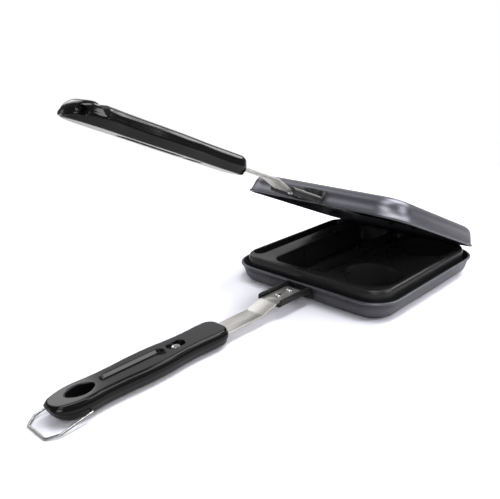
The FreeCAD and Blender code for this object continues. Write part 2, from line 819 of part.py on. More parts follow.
def lower_handle():
    tools = [strap_slot(), thumb_groove()] + handle_screw_room() + eye_hole() + latch_holes()
    return handle_blank().cut(tools)


def upper_handle():
    tools = [strap_slot(), thumb_groove()] + handle_screw_room()
    tools += latch_notch() + side_hanging_hole()
    return handle_blank().cut(tools)


def wire_latch():
    """One bent wire: end pins in the handle, two legs, and a narrower crossbar."""
    pin_x = handle_half_width - latch_pin_depth
    half_bend = latch_bend / 2
    plan = [(pin_x, 0), (latch_half_width - latch_bend, 0), (latch_half_width, latch_bend),
            (latch_half_width, latch_leg),
            (latch_tip_half_width + half_bend, latch_reach - half_bend),
            (latch_tip_half_width - half_bend, latch_reach)]
    plan += [(-x, reach) for x, reach in reversed(plan)]
    tilt = math.asin((latch_over_table - wire_radius - wire_floor_gap) / latch_reach)
    points = []
    for x, reach in plan:
        points.append(Vec(x, latch_y - reach * math.cos(tilt), latch_over_table - reach * math.sin(tilt)))
    angles = [2 * math.pi * side / bar_sides for side in range(bar_sides)]
    ring = [points[0] + Vec(0, wire_radius * math.cos(a), wire_radius * math.sin(a)) for a in angles]
    section = Part.makePolygon(ring + ring[:1])
    return Part.makePolygon(points).makePipeShell([section], True, False, 1)


def hinge_leaf(spans, envelope):
    """A leaf on the rear wall with knuckles over the given spans of X."""
    leaf = wall_plate(hinge_width, hinge_leaf_depth, hinge_sheet, wall_start, 1)
    top_z = shell_height - wall_start * math.cos(draft)
    low_z = top_z - hinge_web_depth
    top_y = shell_depth / 2 - wall_start * math.sin(draft) + hinge_sheet / 2
    low_y = top_y - hinge_web_depth * math.tan(draft)
    web = [(low_y, low_z), (top_y, top_z)]
    for across_share, up_share in web_on_knuckle_shares:
        web.append((hinge_y + across_share * hinge_knuckle_radius,
                    parting_z + up_share * hinge_knuckle_radius))
    pieces = []
    for low_x, high_x in spans:
        base = Vec(low_x, hinge_y, parting_z)
        pieces.append(Part.makeCylinder(hinge_knuckle_radius, high_x - low_x, base, x_axis))
        pieces.append(prism_along_x(web, low_x, high_x))
    reach = hinge_width / 2 + overrun
    bore = Part.makeCylinder(hinge_pin_radius + fit_gap, 2 * reach, Vec(-reach, hinge_y, parting_z), x_axis)
    body = leaf.fuse(pieces).cut([bore, envelope] + wall_holes(hinge_rivet_spots(), 1, 0))
    return body.removeSplitter()


def hinge_pin():
    """The hinge pin with a head upset at each end."""
    reach = hinge_width / 2 + fit_gap
    pin = Part.makeCylinder(hinge_pin_radius, 2 * reach, Vec(-reach, hinge_y, parting_z), x_axis)
    heads = []
    for s in (-1, 1):
        base = Vec(s * reach, hinge_y, parting_z)
        heads.append(Part.makeCylinder(pin_head_radius, pin_head_thickness, base, x_axis * s))
    return pin.fuse(heads).removeSplitter()


def upper(shape):
    """Flip a piece about the parting plane and open it about the hinge pin."""
    flipped = shape.mirror(Vec(0, 0, parting_z), z_axis)
    flipped.rotate(Vec(0, hinge_y, parting_z), x_axis, -rest_opening_deg)
    return flipped


def build():
    outer_x = hinge_width / 2
    inner_x = hinge_middle_width / 2
    side_spans = [(-outer_x, -inner_x - knuckle_gap), (inner_x + knuckle_gap, outer_x)]
    envelope = shell_envelope()
    lower = {
        "lower_shell": shell(lower_land_z, lower_pocket_depth, lower_screw_length),
        "lower_cooking_plate": cooking_plate(lower_land_z, lower_skirt_depth, lower_well_depth,
                                             lower_bowl_depth, lower_groove_depth,
                                             lower_pocket_depth),
        "lower_plate_screws": plate_screws(lower_land_z, lower_pocket_depth, lower_screw_length),
        "lower_handle": lower_handle(),
        "lower_hinge_leaf": hinge_leaf(side_spans, envelope),
        "hinge_pin": hinge_pin(),
        "wire_latch": wire_latch(),
    }
    lid = {
        "upper_shell": shell(upper_land_z, upper_pocket_depth, upper_screw_length),
        "upper_cooking_plate": cooking_plate(upper_land_z, upper_skirt_depth, upper_well_depth,
                                             upper_bowl_depth, upper_groove_depth,
                                             upper_pocket_depth),
        "upper_plate_screws": plate_screws(upper_land_z, upper_pocket_depth, upper_screw_length),
        "upper_handle": upper_handle(),
        "upper_hinge_leaf": hinge_leaf([(-inner_x, inner_x)], envelope),
    }
    for side, half in (("lower", lower), ("upper", lid)):
        half[side + "_bracket"] = bracket(envelope)
        half[side + "_strap"] = strap()
        half[side + "_handle_screw"] = handle_screw()
        half[side + "_rivets"] = half_rivets()
    nodes = {}
    for name, shape in lower.items():
        nodes[name] = Part.makeCompound(shape) if isinstance(shape, list) else shape
    for name, shape in lid.items():
        nodes[name] = upper(Part.makeCompound(shape) if isinstance(shape, list) else shape)
    return nodes


for node_name, node_shape in build().items():
    node_shape.exportStep("parts/" + node_name + ".step")
    print(node_name, len(node_shape.Solids), "solids", round(node_shape.Volume, 1), "mm3",
          "valid" if node_shape.isValid() else "NOT VALID")
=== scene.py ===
import math

import bmesh
import bpy
import numpy as np
from mathutils import Matrix, Vector, geometry


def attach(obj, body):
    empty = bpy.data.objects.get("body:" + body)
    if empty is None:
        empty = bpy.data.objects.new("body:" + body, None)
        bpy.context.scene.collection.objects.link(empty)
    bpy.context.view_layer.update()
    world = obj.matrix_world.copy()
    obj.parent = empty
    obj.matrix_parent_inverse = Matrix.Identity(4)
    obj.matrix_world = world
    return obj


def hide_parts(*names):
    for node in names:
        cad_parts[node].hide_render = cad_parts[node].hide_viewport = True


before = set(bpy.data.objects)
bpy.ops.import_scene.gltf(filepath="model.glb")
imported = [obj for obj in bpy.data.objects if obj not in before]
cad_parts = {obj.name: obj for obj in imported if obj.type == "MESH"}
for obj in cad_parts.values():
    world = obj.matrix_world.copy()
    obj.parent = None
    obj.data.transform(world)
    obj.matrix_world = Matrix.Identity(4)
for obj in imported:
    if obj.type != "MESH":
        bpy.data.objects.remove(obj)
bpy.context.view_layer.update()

# A pie iron: two square pan halves hinged at the back, each on a strap and a long grip.
# Sizes are millimetres and become metres when a mesh is made. X runs across the pan,
# the grips point to -Y, the hinge is at +Y and Z is up.
mm = 0.001
# Upper pieces are worked out upside down over the lower half, then turned over and opened
lid = {"parting": 15.0, "hingeY": 74.9, "openDeg": 23.1}


# Mesh helpers

def toLid(points):
    # Turn points over about the parting plane, then turn them about the hinge line.
    angle = math.radians(-lid["openDeg"])
    y = points[:, 1] - lid["hingeY"]
    z = lid["parting"] - points[:, 2]
    return np.stack([points[:, 0],
                     lid["hingeY"] + y * math.cos(angle) - z * math.sin(angle),
                     lid["parting"] + y * math.sin(angle) + z * math.cos(angle)], axis=1)


def newPiece(name, mesh):
    # Put a mesh into the scene, shaded smooth.
    mesh.polygons.foreach_set("use_smooth", np.ones(len(mesh.polygons), bool))
    piece = bpy.data.objects.new(name, mesh)
    bpy.context.scene.collection.objects.link(piece)
    return piece


class Patchwork:
    # Vertices and faces of one piece, gathered patch by patch.

    def __init__(self):
        self.points = []
        self.faces = []
        self.count = 0

    def add(self, points, faces):
        self.points.append(np.asarray(points, float))
        self.faces += [tuple(int(i) + self.count for i in face) for face in faces]
        self.count += len(points)

    def grid(self, points, closedU=False, closedV=False, flip=False):
        # A grid of points (rows, columns, 3) with quads between its neighbours.
        rows, columns = points.shape[:2]
        r = np.arange(rows if closedU else rows - 1)
        c = np.arange(columns if closedV else columns - 1)
        r, c = np.meshgrid(r, c, indexing="ij")
        r1, c1 = (r + 1) % rows, (c + 1) % columns
        quads = np.stack([r * columns + c, r1 * columns + c, r1 * columns + c1, r * columns + c1], -1)
        quads = quads.reshape(-1, 4)
        self.add(points.reshape(-1, 3), quads[:, ::-1] if flip else quads)

    def cap(self, ring):
        # One flat face over a closed ring of points.
        self.add(ring, [tuple(range(len(ring)))])

    def tube(self, rings):
        # Rings of points joined one after another, with a flat face on both ends.
        self.grid(rings, closedV=True)
        self.cap(rings[0])
        self.cap(rings[-1])

    def build(self, name, upper=False, mergeDistance=1e-3, recalculate=True, sharpDeg=None):
        points = np.concatenate(self.points)
        if upper:
            points = toLid(points)
        mesh = bpy.data.meshes.new(name)
        mesh.from_pydata((points * mm).tolist(), [], self.faces)
        shape = bmesh.new()
        shape.from_mesh(mesh)
        bmesh.ops.remove_doubles(shape, verts=shape.verts, dist=mergeDistance * mm)
        bmesh.ops.dissolve_degenerate(shape, edges=shape.edges, dist=mergeDistance * mm)
        if recalculate:
            bmesh.ops.recalc_face_normals(shape, faces=shape.faces)
            if shape.calc_volume(signed=True) < 0:
                bmesh.ops.reverse_faces(shape, faces=shape.faces)
        shape.to_mesh(mesh)
        shape.free()
        piece = newPiece(name, mesh)
        if sharpDeg:
            mesh.set_sharp_from_angle(angle=math.radians(sharpDeg))
        return piece


def arcs(elements, arcStepDeg=5.0, lineStep=3.0):
    # Points and inward normals along tangent arcs (start, centre, angle) and lines.
    # An arc point is centre + R(t) * (start - centre); its normal points to the left of
    # the way along, which is inwards on an anticlockwise outline.
    points = []
    normals = []
    for element in elements:
        start = np.array(element[0], float)
        if len(element) == 2:
            end = np.array(element[1], float)
            steps = max(1, round(np.linalg.norm(end - start) / lineStep))
            t = np.arange(steps)[:, None] / steps
            along = (end - start) / np.linalg.norm(end - start)
            points.append(start + (end - start) * t)
            normals.append(np.repeat([[-along[1], along[0]]], steps, axis=0))
            continue
        centre, angle = np.array(element[1], float), element[2]
        steps = max(2, math.ceil(abs(angle) / arcStepDeg))
        t = np.radians(angle) * np.arange(steps) / steps
        spoke = start - centre
        around = np.stack([spoke[0] * np.cos(t) - spoke[1] * np.sin(t),
                           spoke[0] * np.sin(t) + spoke[1] * np.cos(t)], axis=1)
        points.append(centre + around)
        normals.append(-np.sign(angle) * around / np.linalg.norm(spoke))
    return np.concatenate(points), np.concatenate(normals)


def roundedRectangle(width, depth, radius, **steps):
    a, b = width / 2 - radius, depth / 2 - radius
    corners = [(a, -b, 0), (a, b, 90), (-a, b, 180), (-a, -b, 270)]
    elements = []
    for k, (x, y, turn) in enumerate(corners):
        out = math.radians(turn - 90)
        nextX, nextY, _ = corners[(k + 1) % 4]
        ahead = math.radians(turn)
        elements.append(((x + radius * math.cos(out), y + radius * math.sin(out)), (x, y), 90))
        elements.append(((x + radius * math.cos(ahead), y + radius * math.sin(ahead)),
                         (nextX + radius * math.cos(ahead), nextY + radius * math.sin(ahead))))
    return arcs(elements, **steps)


def slotOutline(width, length, centre=(0, 0), **steps):
    # A slot with round ends, long in Y.
    r, reach = width / 2, length / 2 - width / 2
    points, normals = arcs([((r, -reach), (r, reach)), ((r, reach), (0, reach), 180),
                            ((-r, reach), (-r, -reach)), ((-r, -reach), (0, -reach), 180)], **steps)
    return points + np.array(centre), normals


def inwardNormals(loop):
    # Unit normals to the left of the way round a closed loop.
    ahead = np.roll(loop, -1, axis=0) - np.roll(loop, 1, axis=0)
    return np.stack([-ahead[:, 1], ahead[:, 0]], 1) / np.linalg.norm(ahead, axis=1)[:, None]


def sweptWall(outline, profile):
    # Carry a profile of (draw-in, z) round an outline: point = outline + normal * draw-in.
    points, normals = outline
    profile = np.asarray(profile, float)
    flat = points[:, None, :] + normals[:, None, :] * profile[None, :, :1]
    z = np.broadcast_to(profile[None, :, 1:], flat.shape[:2] + (1,))
    return np.concatenate([flat, z], axis=2)


def turned(profile, sides):
    # A profile of (radius, z) turned about Z: point = (r cos t, r sin t, z).
    t = np.arange(sides) * 2 * np.pi / sides
    r, z = np.asarray(profile, float).T[:, :, None]
    return np.stack([r * np.cos(t), r * np.sin(t), np.broadcast_to(z, (len(z), sides))], axis=2)


def roundCorners(corners, radii, stepDeg=10.0):
    # An open profile through corners, each rounded by a tangent arc of its radius.
    corners = [np.array(c, float) for c in corners]
    points = [corners[0]]
    for before, corner, after, radius in zip(corners, corners[1:], corners[2:], radii):
        back = (before - corner) / np.linalg.norm(before - corner)
        ahead = (after - corner) / np.linalg.norm(after - corner)
        half = math.acos(np.clip(back @ ahead, -1, 1)) / 2
        if radius <= 0 or half > math.pi / 2 - 1e-3:
            points.append(corner)
            continue
        centre = corner + (back + ahead) / np.linalg.norm(back + ahead) * radius / math.sin(half)
        enter = corner + back * radius / math.tan(half) - centre
        leave = corner + ahead * radius / math.tan(half) - centre
        turn = math.pi - 2 * half
        steps = max(2, math.ceil(math.degrees(turn) / stepDeg))
        for k in range(steps + 1):
            t = turn * k / steps
            points.append(centre + (enter * math.sin(turn - t) + leave * math.sin(t)) / math.sin(turn))
    points.append(corners[-1])
    return np.array(points)


def between(points, loops):
    # Which points lie inside the first loop and outside the others: an odd number of all
    # their edges cross a ray to +X.
    x, y = points[:, 0][:, None], points[:, 1][:, None]
    a = np.concatenate(loops)
    b = np.concatenate([np.roll(loop, -1, axis=0) for loop in loops])
    crosses = (a[:, 1] > y) != (b[:, 1] > y)
    run = np.where(b[:, 1] == a[:, 1], 1e-12, b[:, 1] - a[:, 1])
    at = a[:, 0] + (y - a[:, 1]) / run * (b[:, 0] - a[:, 0])
    return (np.count_nonzero(crosses & (x < at), axis=1) % 2).astype(bool)


def levelSheet(outer, holes, z, spacing=1.5):
    # Triangles at one height inside a loop and outside its holes, over a grid of points.
    xs, ys = [np.arange(low, high, spacing) for low, high in zip(outer.min(0), outer.max(0))]
    spots = np.stack(np.meshgrid(xs, ys, indexing="ij"), -1).reshape(-1, 2)
    loops = [outer] + holes
    keep = between(spots, loops)
    for loop in loops:
        near = np.linalg.norm(spots[:, None, :] - loop[None, :, :], axis=2).min(1)
        keep &= near > spacing * 0.6
    edges = []
    start = 0
    for loop in loops:
        edges += [(start + k, start + (k + 1) % len(loop)) for k in range(len(loop))]
        start += len(loop)
    everything = [Vector(point) for point in np.concatenate(loops + [spots[keep]])]
    found, _, faces, _, _, _ = geometry.delaunay_2d_cdt(everything, edges, [], 0, 1e-6)
    found = np.array([tuple(point) for point in found])
    faces = np.array([face for face in faces if len(face) == 3])
    keep = between(found[faces].mean(1), loops)
    return np.column_stack([found, np.full(len(found), z)]), faces[keep]


def finish(piece, body, replaced, material):
    piece.data.materials.clear()
    piece.data.materials.append(material)
    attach(piece, body)
    if replaced:
        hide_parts(*replaced)
    return piece


def halfPiece(work, half, name, slot, node, material, **mesh):
    # Build a piece of the lower or upper half and hang it on that half's body.
    piece = work.build(half + name, half == "upper", **mesh)
    return finish(piece, half + "_pan", [half + node] if node else [], material)


def bevelledCopy(node, name, width, body, material, angleDeg=34):
    # A copy of a plain metal node with its arrises broken by a small bevel.
    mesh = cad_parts[node].data.copy()
    mesh.name = name
    shape = bmesh.new()
    shape.from_mesh(mesh)
    bmesh.ops.remove_doubles(shape, verts=shape.verts, dist=1e-6)
    bmesh.ops.dissolve_limit(shape, angle_limit=math.radians(0.5), verts=shape.verts, edges=shape.edges)
    shape.to_mesh(mesh)
    shape.free()
    piece = newPiece(name, mesh)
    bevel = piece.modifiers.new("brokenArris", "BEVEL")
    bevel.width = width * mm
    bevel.segments = 2
    bevel.limit_method = "ANGLE"
    bevel.angle_limit = math.radians(angleDeg)
    bevel.harden_normals = True
    return finish(piece, body, [node], material)


# Shader groups, each built once and placed in the materials with its own values

def newGroup(name, inputs, outputs):
    # An empty group with its named sockets: returns it, what it is given and what it puts out.
    group = bpy.data.node_groups.new(name, "ShaderNodeTree")
    for label, kind, value in inputs:
        socket = group.interface.new_socket(label, in_out="INPUT", socket_type="NodeSocket" + kind)
        if value is not None:
            socket.default_value = value
    for label, kind in outputs:
        group.interface.new_socket(label, in_out="OUTPUT", socket_type="NodeSocket" + kind)
    return group, group.nodes.new("NodeGroupInput").outputs, group.nodes.new("NodeGroupOutput").inputs


def addNode(tree, kind, inputs=None, **settings):
    # A node whose inputs are each linked to a socket or set to a value.
    node = tree.nodes.new("ShaderNode" + kind)
    for key, value in settings.items():
        setattr(node, key, value)
    for key, value in (inputs or {}).items():
        if isinstance(value, bpy.types.NodeSocket):
            tree.links.new(value, node.inputs[key])
        else:
            node.inputs[key].default_value = value
    return node


def ranged(tree, value, low, high, toLow=0.0, toHigh=1.0):
    node = addNode(tree, "MapRange", {"Value": value, "From Min": low, "From Max": high,
                                      "To Min": toLow, "To Max": toHigh})
    return node.outputs["Result"]


def mixed(tree, factor, a, b):
    return addNode(tree, "Mix", {0: factor, 6: a, 7: b}, data_type="RGBA").outputs[2]


def worked(tree, operation, a, b):
    return addNode(tree, "Math", {0: a, 1: b}, operation=operation).outputs[0]


def noise(tree, place, scale, **inputs):
    return addNode(tree, "TexNoise", {"Vector": place, "Scale": scale, **inputs}).outputs["Fac"]


def makeFlake():
    # Fine metallic flake: noise at two sizes mixes a dark and a light colour.
    group, given, result = newGroup("flake", [("Vector", "Vector", None), ("Dark", "Color", (0, 0, 0, 1)),
                                              ("Light", "Color", (1, 1, 1, 1)), ("Scale", "Float", 1.0),
                                              ("Contrast", "Float", 0.5)],
                                    [("Color", "Color"), ("Grain", "Float")])
    fine = noise(group, given["Vector"], given["Scale"], Detail=2.0, Roughness=0.7)
    cloudScale = worked(group, "MULTIPLY", given["Scale"], 0.012)
    cloud = noise(group, given["Vector"], cloudScale, Detail=3.0)
    grain = ranged(group, fine, 0.3, 0.7)
    strong = worked(group, "MULTIPLY", worked(group, "SUBTRACT", grain, 0.5), given["Contrast"])
    base = addNode(group, "Math", {0: strong, 1: cloud}, operation="ADD", use_clamp=True).outputs[0]
    group.links.new(mixed(group, base, given["Dark"], given["Light"]), result["Color"])
    group.links.new(grain, result["Grain"])
    return group


def makeWear():
    # Rubbed edges: where the surface is convex, broken up by noise.
    group, given, result = newGroup("edgeWear", [("Vector", "Vector", None), ("Scale", "Float", 400.0),
                                                 ("Low", "Float", 0.52), ("High", "Float", 0.6)],
                                    [("Mask", "Float")])
    edge = ranged(group, addNode(group, "NewGeometry").outputs["Pointiness"], given["Low"], given["High"])
    broken = ranged(group, noise(group, given["Vector"], given["Scale"], Detail=4.0), 0.42, 0.62)
    group.links.new(worked(group, "MULTIPLY", edge, broken), result["Mask"])
    return group


def makeBrushed():
    # Brush lines: noise stretched along one direction of a piece.
    group, given, result = newGroup("brushed", [("Vector", "Vector", None), ("Across", "Float", 9000.0),
                                                ("Along", "Float", 60.0)],
                                    [("Lines", "Float"), ("Cloud", "Float")])
    across = addNode(group, "CombineXYZ", {"X": given["Across"], "Y": given["Along"], "Z": given["Across"]})
    stretched = addNode(group, "VectorMath", {0: given["Vector"], 1: across.outputs[0]}, operation="MULTIPLY")
    lines = noise(group, stretched.outputs[0], 1.0, Detail=3.0)
    group.links.new(ranged(group, lines, 0.3, 0.7), result["Lines"])
    group.links.new(noise(group, given["Vector"], 45.0, Detail=2.0), result["Cloud"])
    return group


def makePeel():
    # The slight orange peel of a coat or a moulding, as a height.
    group, given, result = newGroup("orangePeel", [("Vector", "Vector", None), ("Scale", "Float", 500.0)],
                                    [("Height", "Float"), ("Patches", "Float")])
    patchScale = worked(group, "MULTIPLY", given["Scale"], 0.08)
    group.links.new(noise(group, given["Vector"], given["Scale"], Detail=1.0), result["Height"])
    group.links.new(noise(group, given["Vector"], patchScale, Detail=4.0), result["Patches"])
    return group


flakeGroup = makeFlake()
wearGroup = makeWear()
brushedGroup = makeBrushed()
peelGroup = makePeel()


def newMaterial(name, **values):
    material = bpy.data.materials.new(name)
    material.use_nodes = True
    tree = material.node_tree
    shader = tree.nodes["Principled BSDF"]
    for key, value in values.items():
        shader.inputs[key.replace("_", " ")].default_value = value
    place = addNode(tree, "TexCoord").outputs["Object"]
    return material, tree, shader, place


def placeGroup(tree, group, place, **values):
    return addNode(tree, "Group", {"Vector": place, **values}, node_tree=group)


def dress(tree, shader, colour, rough, height, bump):
    # Join a material's colour, roughness and bump (strength, distance) to its shader.
    tree.links.new(colour, shader.inputs["Base Color"])
    tree.links.new(rough, shader.inputs["Roughness"])
    relief = addNode(tree, "Bump", {"Strength": bump[0], "Distance": bump[1], "Height": height})
    tree.links.new(relief.outputs["Normal"], shader.inputs["Normal"])


# Grey metallic coat of the shells, a little rubbed on its rim
shellFinish = {"dark": (0.094, 0.094, 0.112, 1), "light": (0.148, 0.148, 0.174, 1),
               "edge": (0.34, 0.34, 0.36, 1), "metallic": 0.72, "rough": (0.33, 0.41),
               "flake": {"Scale": 3200.0, "Contrast": 0.5}, "bump": (0.10, 0.00005),
               "wear": {"Scale": 260.0, "Low": 0.54, "High": 0.66}}

# Black finishes: the plates' non-stick coat, the moulded grips and the brackets' paint
blackFinishes = {
    "nonStickCoat": {"dark": (0.013, 0.013, 0.0135, 1), "light": (0.020, 0.020, 0.021, 1), "specular": 0.28,
                     "peelScale": 900.0, "rough": (0.26, 0.34), "bump": (0.06, 0.0001)},
    "blackGrip": {"dark": (0.0035, 0.0035, 0.004, 1), "light": (0.006, 0.006, 0.0068, 1), "specular": 0.27,
                  "peelScale": 420.0, "rough": (0.13, 0.16), "bump": (0.02, 0.00004)},
    "blackPaint": {"dark": (0.006, 0.006, 0.0065, 1), "light": (0.012, 0.012, 0.013, 1), "specular": 0.5,
                   "peelScale": 700.0, "rough": (0.30, 0.42), "bump": (0.08, 0.0001),
                   "edge": (0.06, 0.06, 0.063, 1), "wear": {"Scale": 500.0, "Low": 0.53, "High": 0.68}},
}

# Bare steels: brush lines run along Y where the scale across is larger than along
steelFinishes = {
    "brushedStrap": {"dark": (0.50, 0.48, 0.46, 1), "light": (0.88, 0.86, 0.84, 1), "rough": (0.34, 0.46),
                     "brush": {"Across": 9000.0, "Along": 60.0}, "bump": (0.15, 0.00003)},
    "rivetSteel": {"dark": (0.42, 0.42, 0.43, 1), "light": (0.62, 0.62, 0.63, 1), "rough": (0.24, 0.34),
                   "brush": {"Across": 1500.0, "Along": 1500.0}, "bump": (0.08, 0.00003)},
    "screwSteel": {"dark": (0.42, 0.42, 0.43, 1), "light": (0.62, 0.62, 0.63, 1), "rough": (0.18, 0.28),
                   "brush": {"Across": 1500.0, "Along": 1500.0}, "bump": (0.05, 0.00003)},
    "wireSteel": {"dark": (0.34, 0.34, 0.35, 1), "light": (0.52, 0.52, 0.53, 1), "rough": (0.2, 0.3),
                  "brush": {"Across": 3000.0, "Along": 300.0}, "bump": (0.05, 0.00003)},
}


def shellMaterial():
    s = shellFinish
    material, tree, shader, place = newMaterial("greyMetallicCoat", Metallic=s["metallic"])
    flake = placeGroup(tree, flakeGroup, place, Dark=s["dark"], Light=s["light"], **s["flake"])
    wear = placeGroup(tree, wearGroup, place, **s["wear"])
    colour = mixed(tree, wear.outputs["Mask"], flake.outputs["Color"], s["edge"])
    grain = flake.outputs["Grain"]
    dress(tree, shader, colour, ranged(tree, grain, 0, 1, *s["rough"]), grain, s["bump"])
    return material


def blackMaterial(name):
    # A black finish with a slight orange peel, worn at the edges if it has an edge colour.
    s = blackFinishes[name]
    material, tree, shader, place = newMaterial(name, Specular_IOR_Level=s["specular"])
    peel = placeGroup(tree, peelGroup, place, Scale=s["peelScale"])
    colour = mixed(tree, peel.outputs["Patches"], s["dark"], s["light"])
    if "edge" in s:
        wear = placeGroup(tree, wearGroup, place, **s["wear"])
        colour = mixed(tree, wear.outputs["Mask"], colour, s["edge"])
    rough = ranged(tree, peel.outputs["Patches"], 0.3, 0.7, *s["rough"])
    dress(tree, shader, colour, rough, peel.outputs["Height"], s["bump"])
    return material


def steelMaterial(name):
    # Bare steel, its lines mixed from a dark and a light colour.
    s = steelFinishes[name]
    material, tree, shader, place = newMaterial(name, Metallic=1.0)
    lines = placeGroup(tree, brushedGroup, place, **s["brush"])
    colour = mixed(tree, lines.outputs["Lines"], s["dark"], s["light"])
    rough = ranged(tree, lines.outputs["Cloud"], 0.3, 0.7, *s["rough"])
    dress(tree, shader, colour, rough, lines.outputs["Lines"], s["bump"])
    return material


shellCoat = shellMaterial()
nonStick, blackGrip, blackPaint = [blackMaterial(name) for name in blackFinishes]
strapSteel, rivetSteel, screwSteel, wireSteel = [steelMaterial(name) for name in steelFinishes]
print("materials made")


# Shells

shellSizes = {"width": 140.0, "depth": 142.0, "height": 14.8, "wall": 1.4, "cornerRadius": 21.0,
              "draftDeg": 15.0, "baseRadius": 8.5, "baseReach": 9.0, "lipHeight": 1.8, "lipProud": 0.7,
              "lipInset": 0.35, "lipRounds": [0.2, 0.55, 0.75], "neckDraw": 0.1, "neckStep": 0.05,
              "beadStep": 0.25, "innerBreak": 0.25, "innerRound": 0.3}
bossSizes = {"radius": 4.2, "bore": 1.55, "top": {"lower": 10.9, "upper": 3.1}, "sides": 28,
             "footReach": 1.2, "footSink": 0.3, "footDraw": 0.3, "footRise": 0.4, "footHeight": 1.0}
screwRows = {"x": (-55.5, 7.5), "y": (-50.5, 50.5)}
plateScrewSpots = [(x, y) for x in screwRows["x"] for y in screwRows["y"]]


def panShell(half):
    # A drawn pan half: the profile runs from the base, up the sloping wall, over a rolled
    # rim bead and down the inside, and is carried round a rounded rectangle.
    s, b = shellSizes, bossSizes
    wall, height = s["wall"], s["height"]
    slope = math.tan(math.radians(s["draftDeg"]))
    inner = wall / math.cos(math.radians(s["draftDeg"]))
    run, lipDraw, lipLow = height * slope, s["lipHeight"] * slope, height - s["lipHeight"]
    flat = run + s["baseReach"]
    outside = roundCorners([(flat, 0), (run, 0), (lipDraw, lipLow)], [s["baseRadius"]], 8)
    neck = roundCorners([(lipDraw, lipLow), (s["neckDraw"], lipLow + s["neckStep"]),
                         (-s["lipProud"], lipLow + s["beadStep"]), (-s["lipProud"], height),
                         (s["lipInset"], height)], s["lipRounds"], 12)
    inward = roundCorners([(s["lipInset"], height), (inner - s["innerBreak"], height),
                           (inner + (height - wall) * slope, wall), (flat, wall)],
                          [s["innerRound"], s["baseRadius"] - wall], 10)
    profile = np.concatenate([outside[:-1], neck[:-1], inward])
    outline = roundedRectangle(s["width"], s["depth"], s["cornerRadius"], arcStepDeg=4, lineStep=6)
    work = Patchwork()
    work.grid(sweptWall(outline, profile), closedU=True)
    for z in (0, wall):
        loop = outline[0] + outline[1] * flat
        work.cap(np.column_stack([loop, np.full(len(loop), z)]))

    # Bosses that take the plate's screws: a ring with a flared foot, sunk a little in the base
    outer, top, low = b["radius"], b["top"][half], wall - b["footSink"]
    boss = [(outer + b["footReach"], low), (outer + b["footDraw"], wall + b["footRise"]),
            (outer, wall + b["footHeight"]), (outer, top), (b["bore"], top), (b["bore"], low)]
    for x, y in plateScrewSpots:
        work.grid(turned(boss + boss[:1], b["sides"]) + (x, y, 0), closedV=True)
    halfPiece(work, half, "PanShell", "shell", "_shell", shellCoat)


panShell("lower")
panShell("upper")
print("shells made")


# Cooking plates

plateSizes = {"width": 130.8, "depth": 132.8, "cornerRadius": 17.0, "edgeRadius": 3.4, "sideDraftDeg": 3.0,
              "wall": 2.2, "footRadius": 0.5, "wellX": -19.5, "wellWidth": 33.0, "wellLength": 119.0,
              "wellCorner": 8.0, "bowlX": 38.95, "bowlY": 38.0, "bowlRadius": 22.25, "bowlLip": 0.4,
              "grooveWidth": 9.4, "grooveLength": 115.0, "grooveLip": 0.6, "pocketRadius": 5.1,
              "pocketLip": 0.3, "backReach": 1.6}
plates = {"lower": {"land": 21.3, "skirt": 14.0, "well": 13.0, "wellRun": 5.8, "bowl": 12.0, "groove": 5.0,
                    "grooveRun": 1.3, "pocket": 6.8, "pocketRun": 1.0, "round": 1.5},
          "upper": {"land": 8.2, "skirt": 3.4, "well": 3.4, "wellRun": 1.6, "bowl": 3.7, "groove": 1.4,
                    "grooveRun": 1.0, "pocket": 2.9, "pocketRun": 0.9, "round": 0.9}}
# Spacing of the face's grid, finer in bands (from, to, spacing) where the hollows' walls are
gridSteps = {"coarse": 1.1, "back": 3,
             "x": [(-63, -50, 0.42), (-38, -28.5, 0.5), (-11, 14, 0.45), (15, 62.4, 0.6)],
             "y": [(-64, -43, 0.45), (-62, -14, 0.6), (14, 62, 0.6), (43, 64, 0.45)]}


def bands(low, high, coarse, finer):
    # Grid lines from low to high whose spacing is the smallest that a band asks for.
    lines = [low]
    while lines[-1] < high:
        here = lines[-1]
        step = min([coarse] + [fine for a, b, fine in finer if a <= here <= b])
        lines.append(here + step)
    lines = np.array(lines)
    return low + (lines - low) * (high - low) / (lines[-1] - low)


def wallDepth(distance, depth, run, radius):
    # Depth at a distance inside a hollow's rim: a straight wall that goes down the depth
    # over its run, its lip and its foot rounded by tangent arcs of one radius.
    edge = roundCorners([(-4 * radius - 4, 0), (0, 0), (run, depth), (run + 40, depth)],
                        [radius, radius], 6)
    return np.interp(distance, edge[:, 0], edge[:, 1])


def bowlDepth(away, radius, depth, lip, ease=0.12, settle=0.175, reach=1.25):
    # Depth of a ball's cap away from its middle. The rim is eased over the lip as
    # (cap + sqrt(cap^2 + ease lip^2)) / 2 - settle lip exp(-(cap / lip)^2).
    ball = (radius ** 2 + depth ** 2) / (2 * depth)
    cap = np.sqrt(np.maximum(ball ** 2 - away ** 2, 0)) - (ball - depth)
    eased = (cap + np.sqrt(cap ** 2 + ease * lip ** 2)) / 2 - settle * lip * np.exp(-(cap / lip) ** 2)
    return np.where(away < radius * reach, np.maximum(eased, 0), 0)


def rectangleReach(x, y, width, length, radius):
    # Distance inside a rounded rectangle's outline, positive inside.
    qx = np.abs(x) - (width / 2 - radius)
    qy = np.abs(y) - (length / 2 - radius)
    outer = np.hypot(np.maximum(qx, 0), np.maximum(qy, 0))
    return radius - outer - np.minimum(np.maximum(qx, qy), 0)


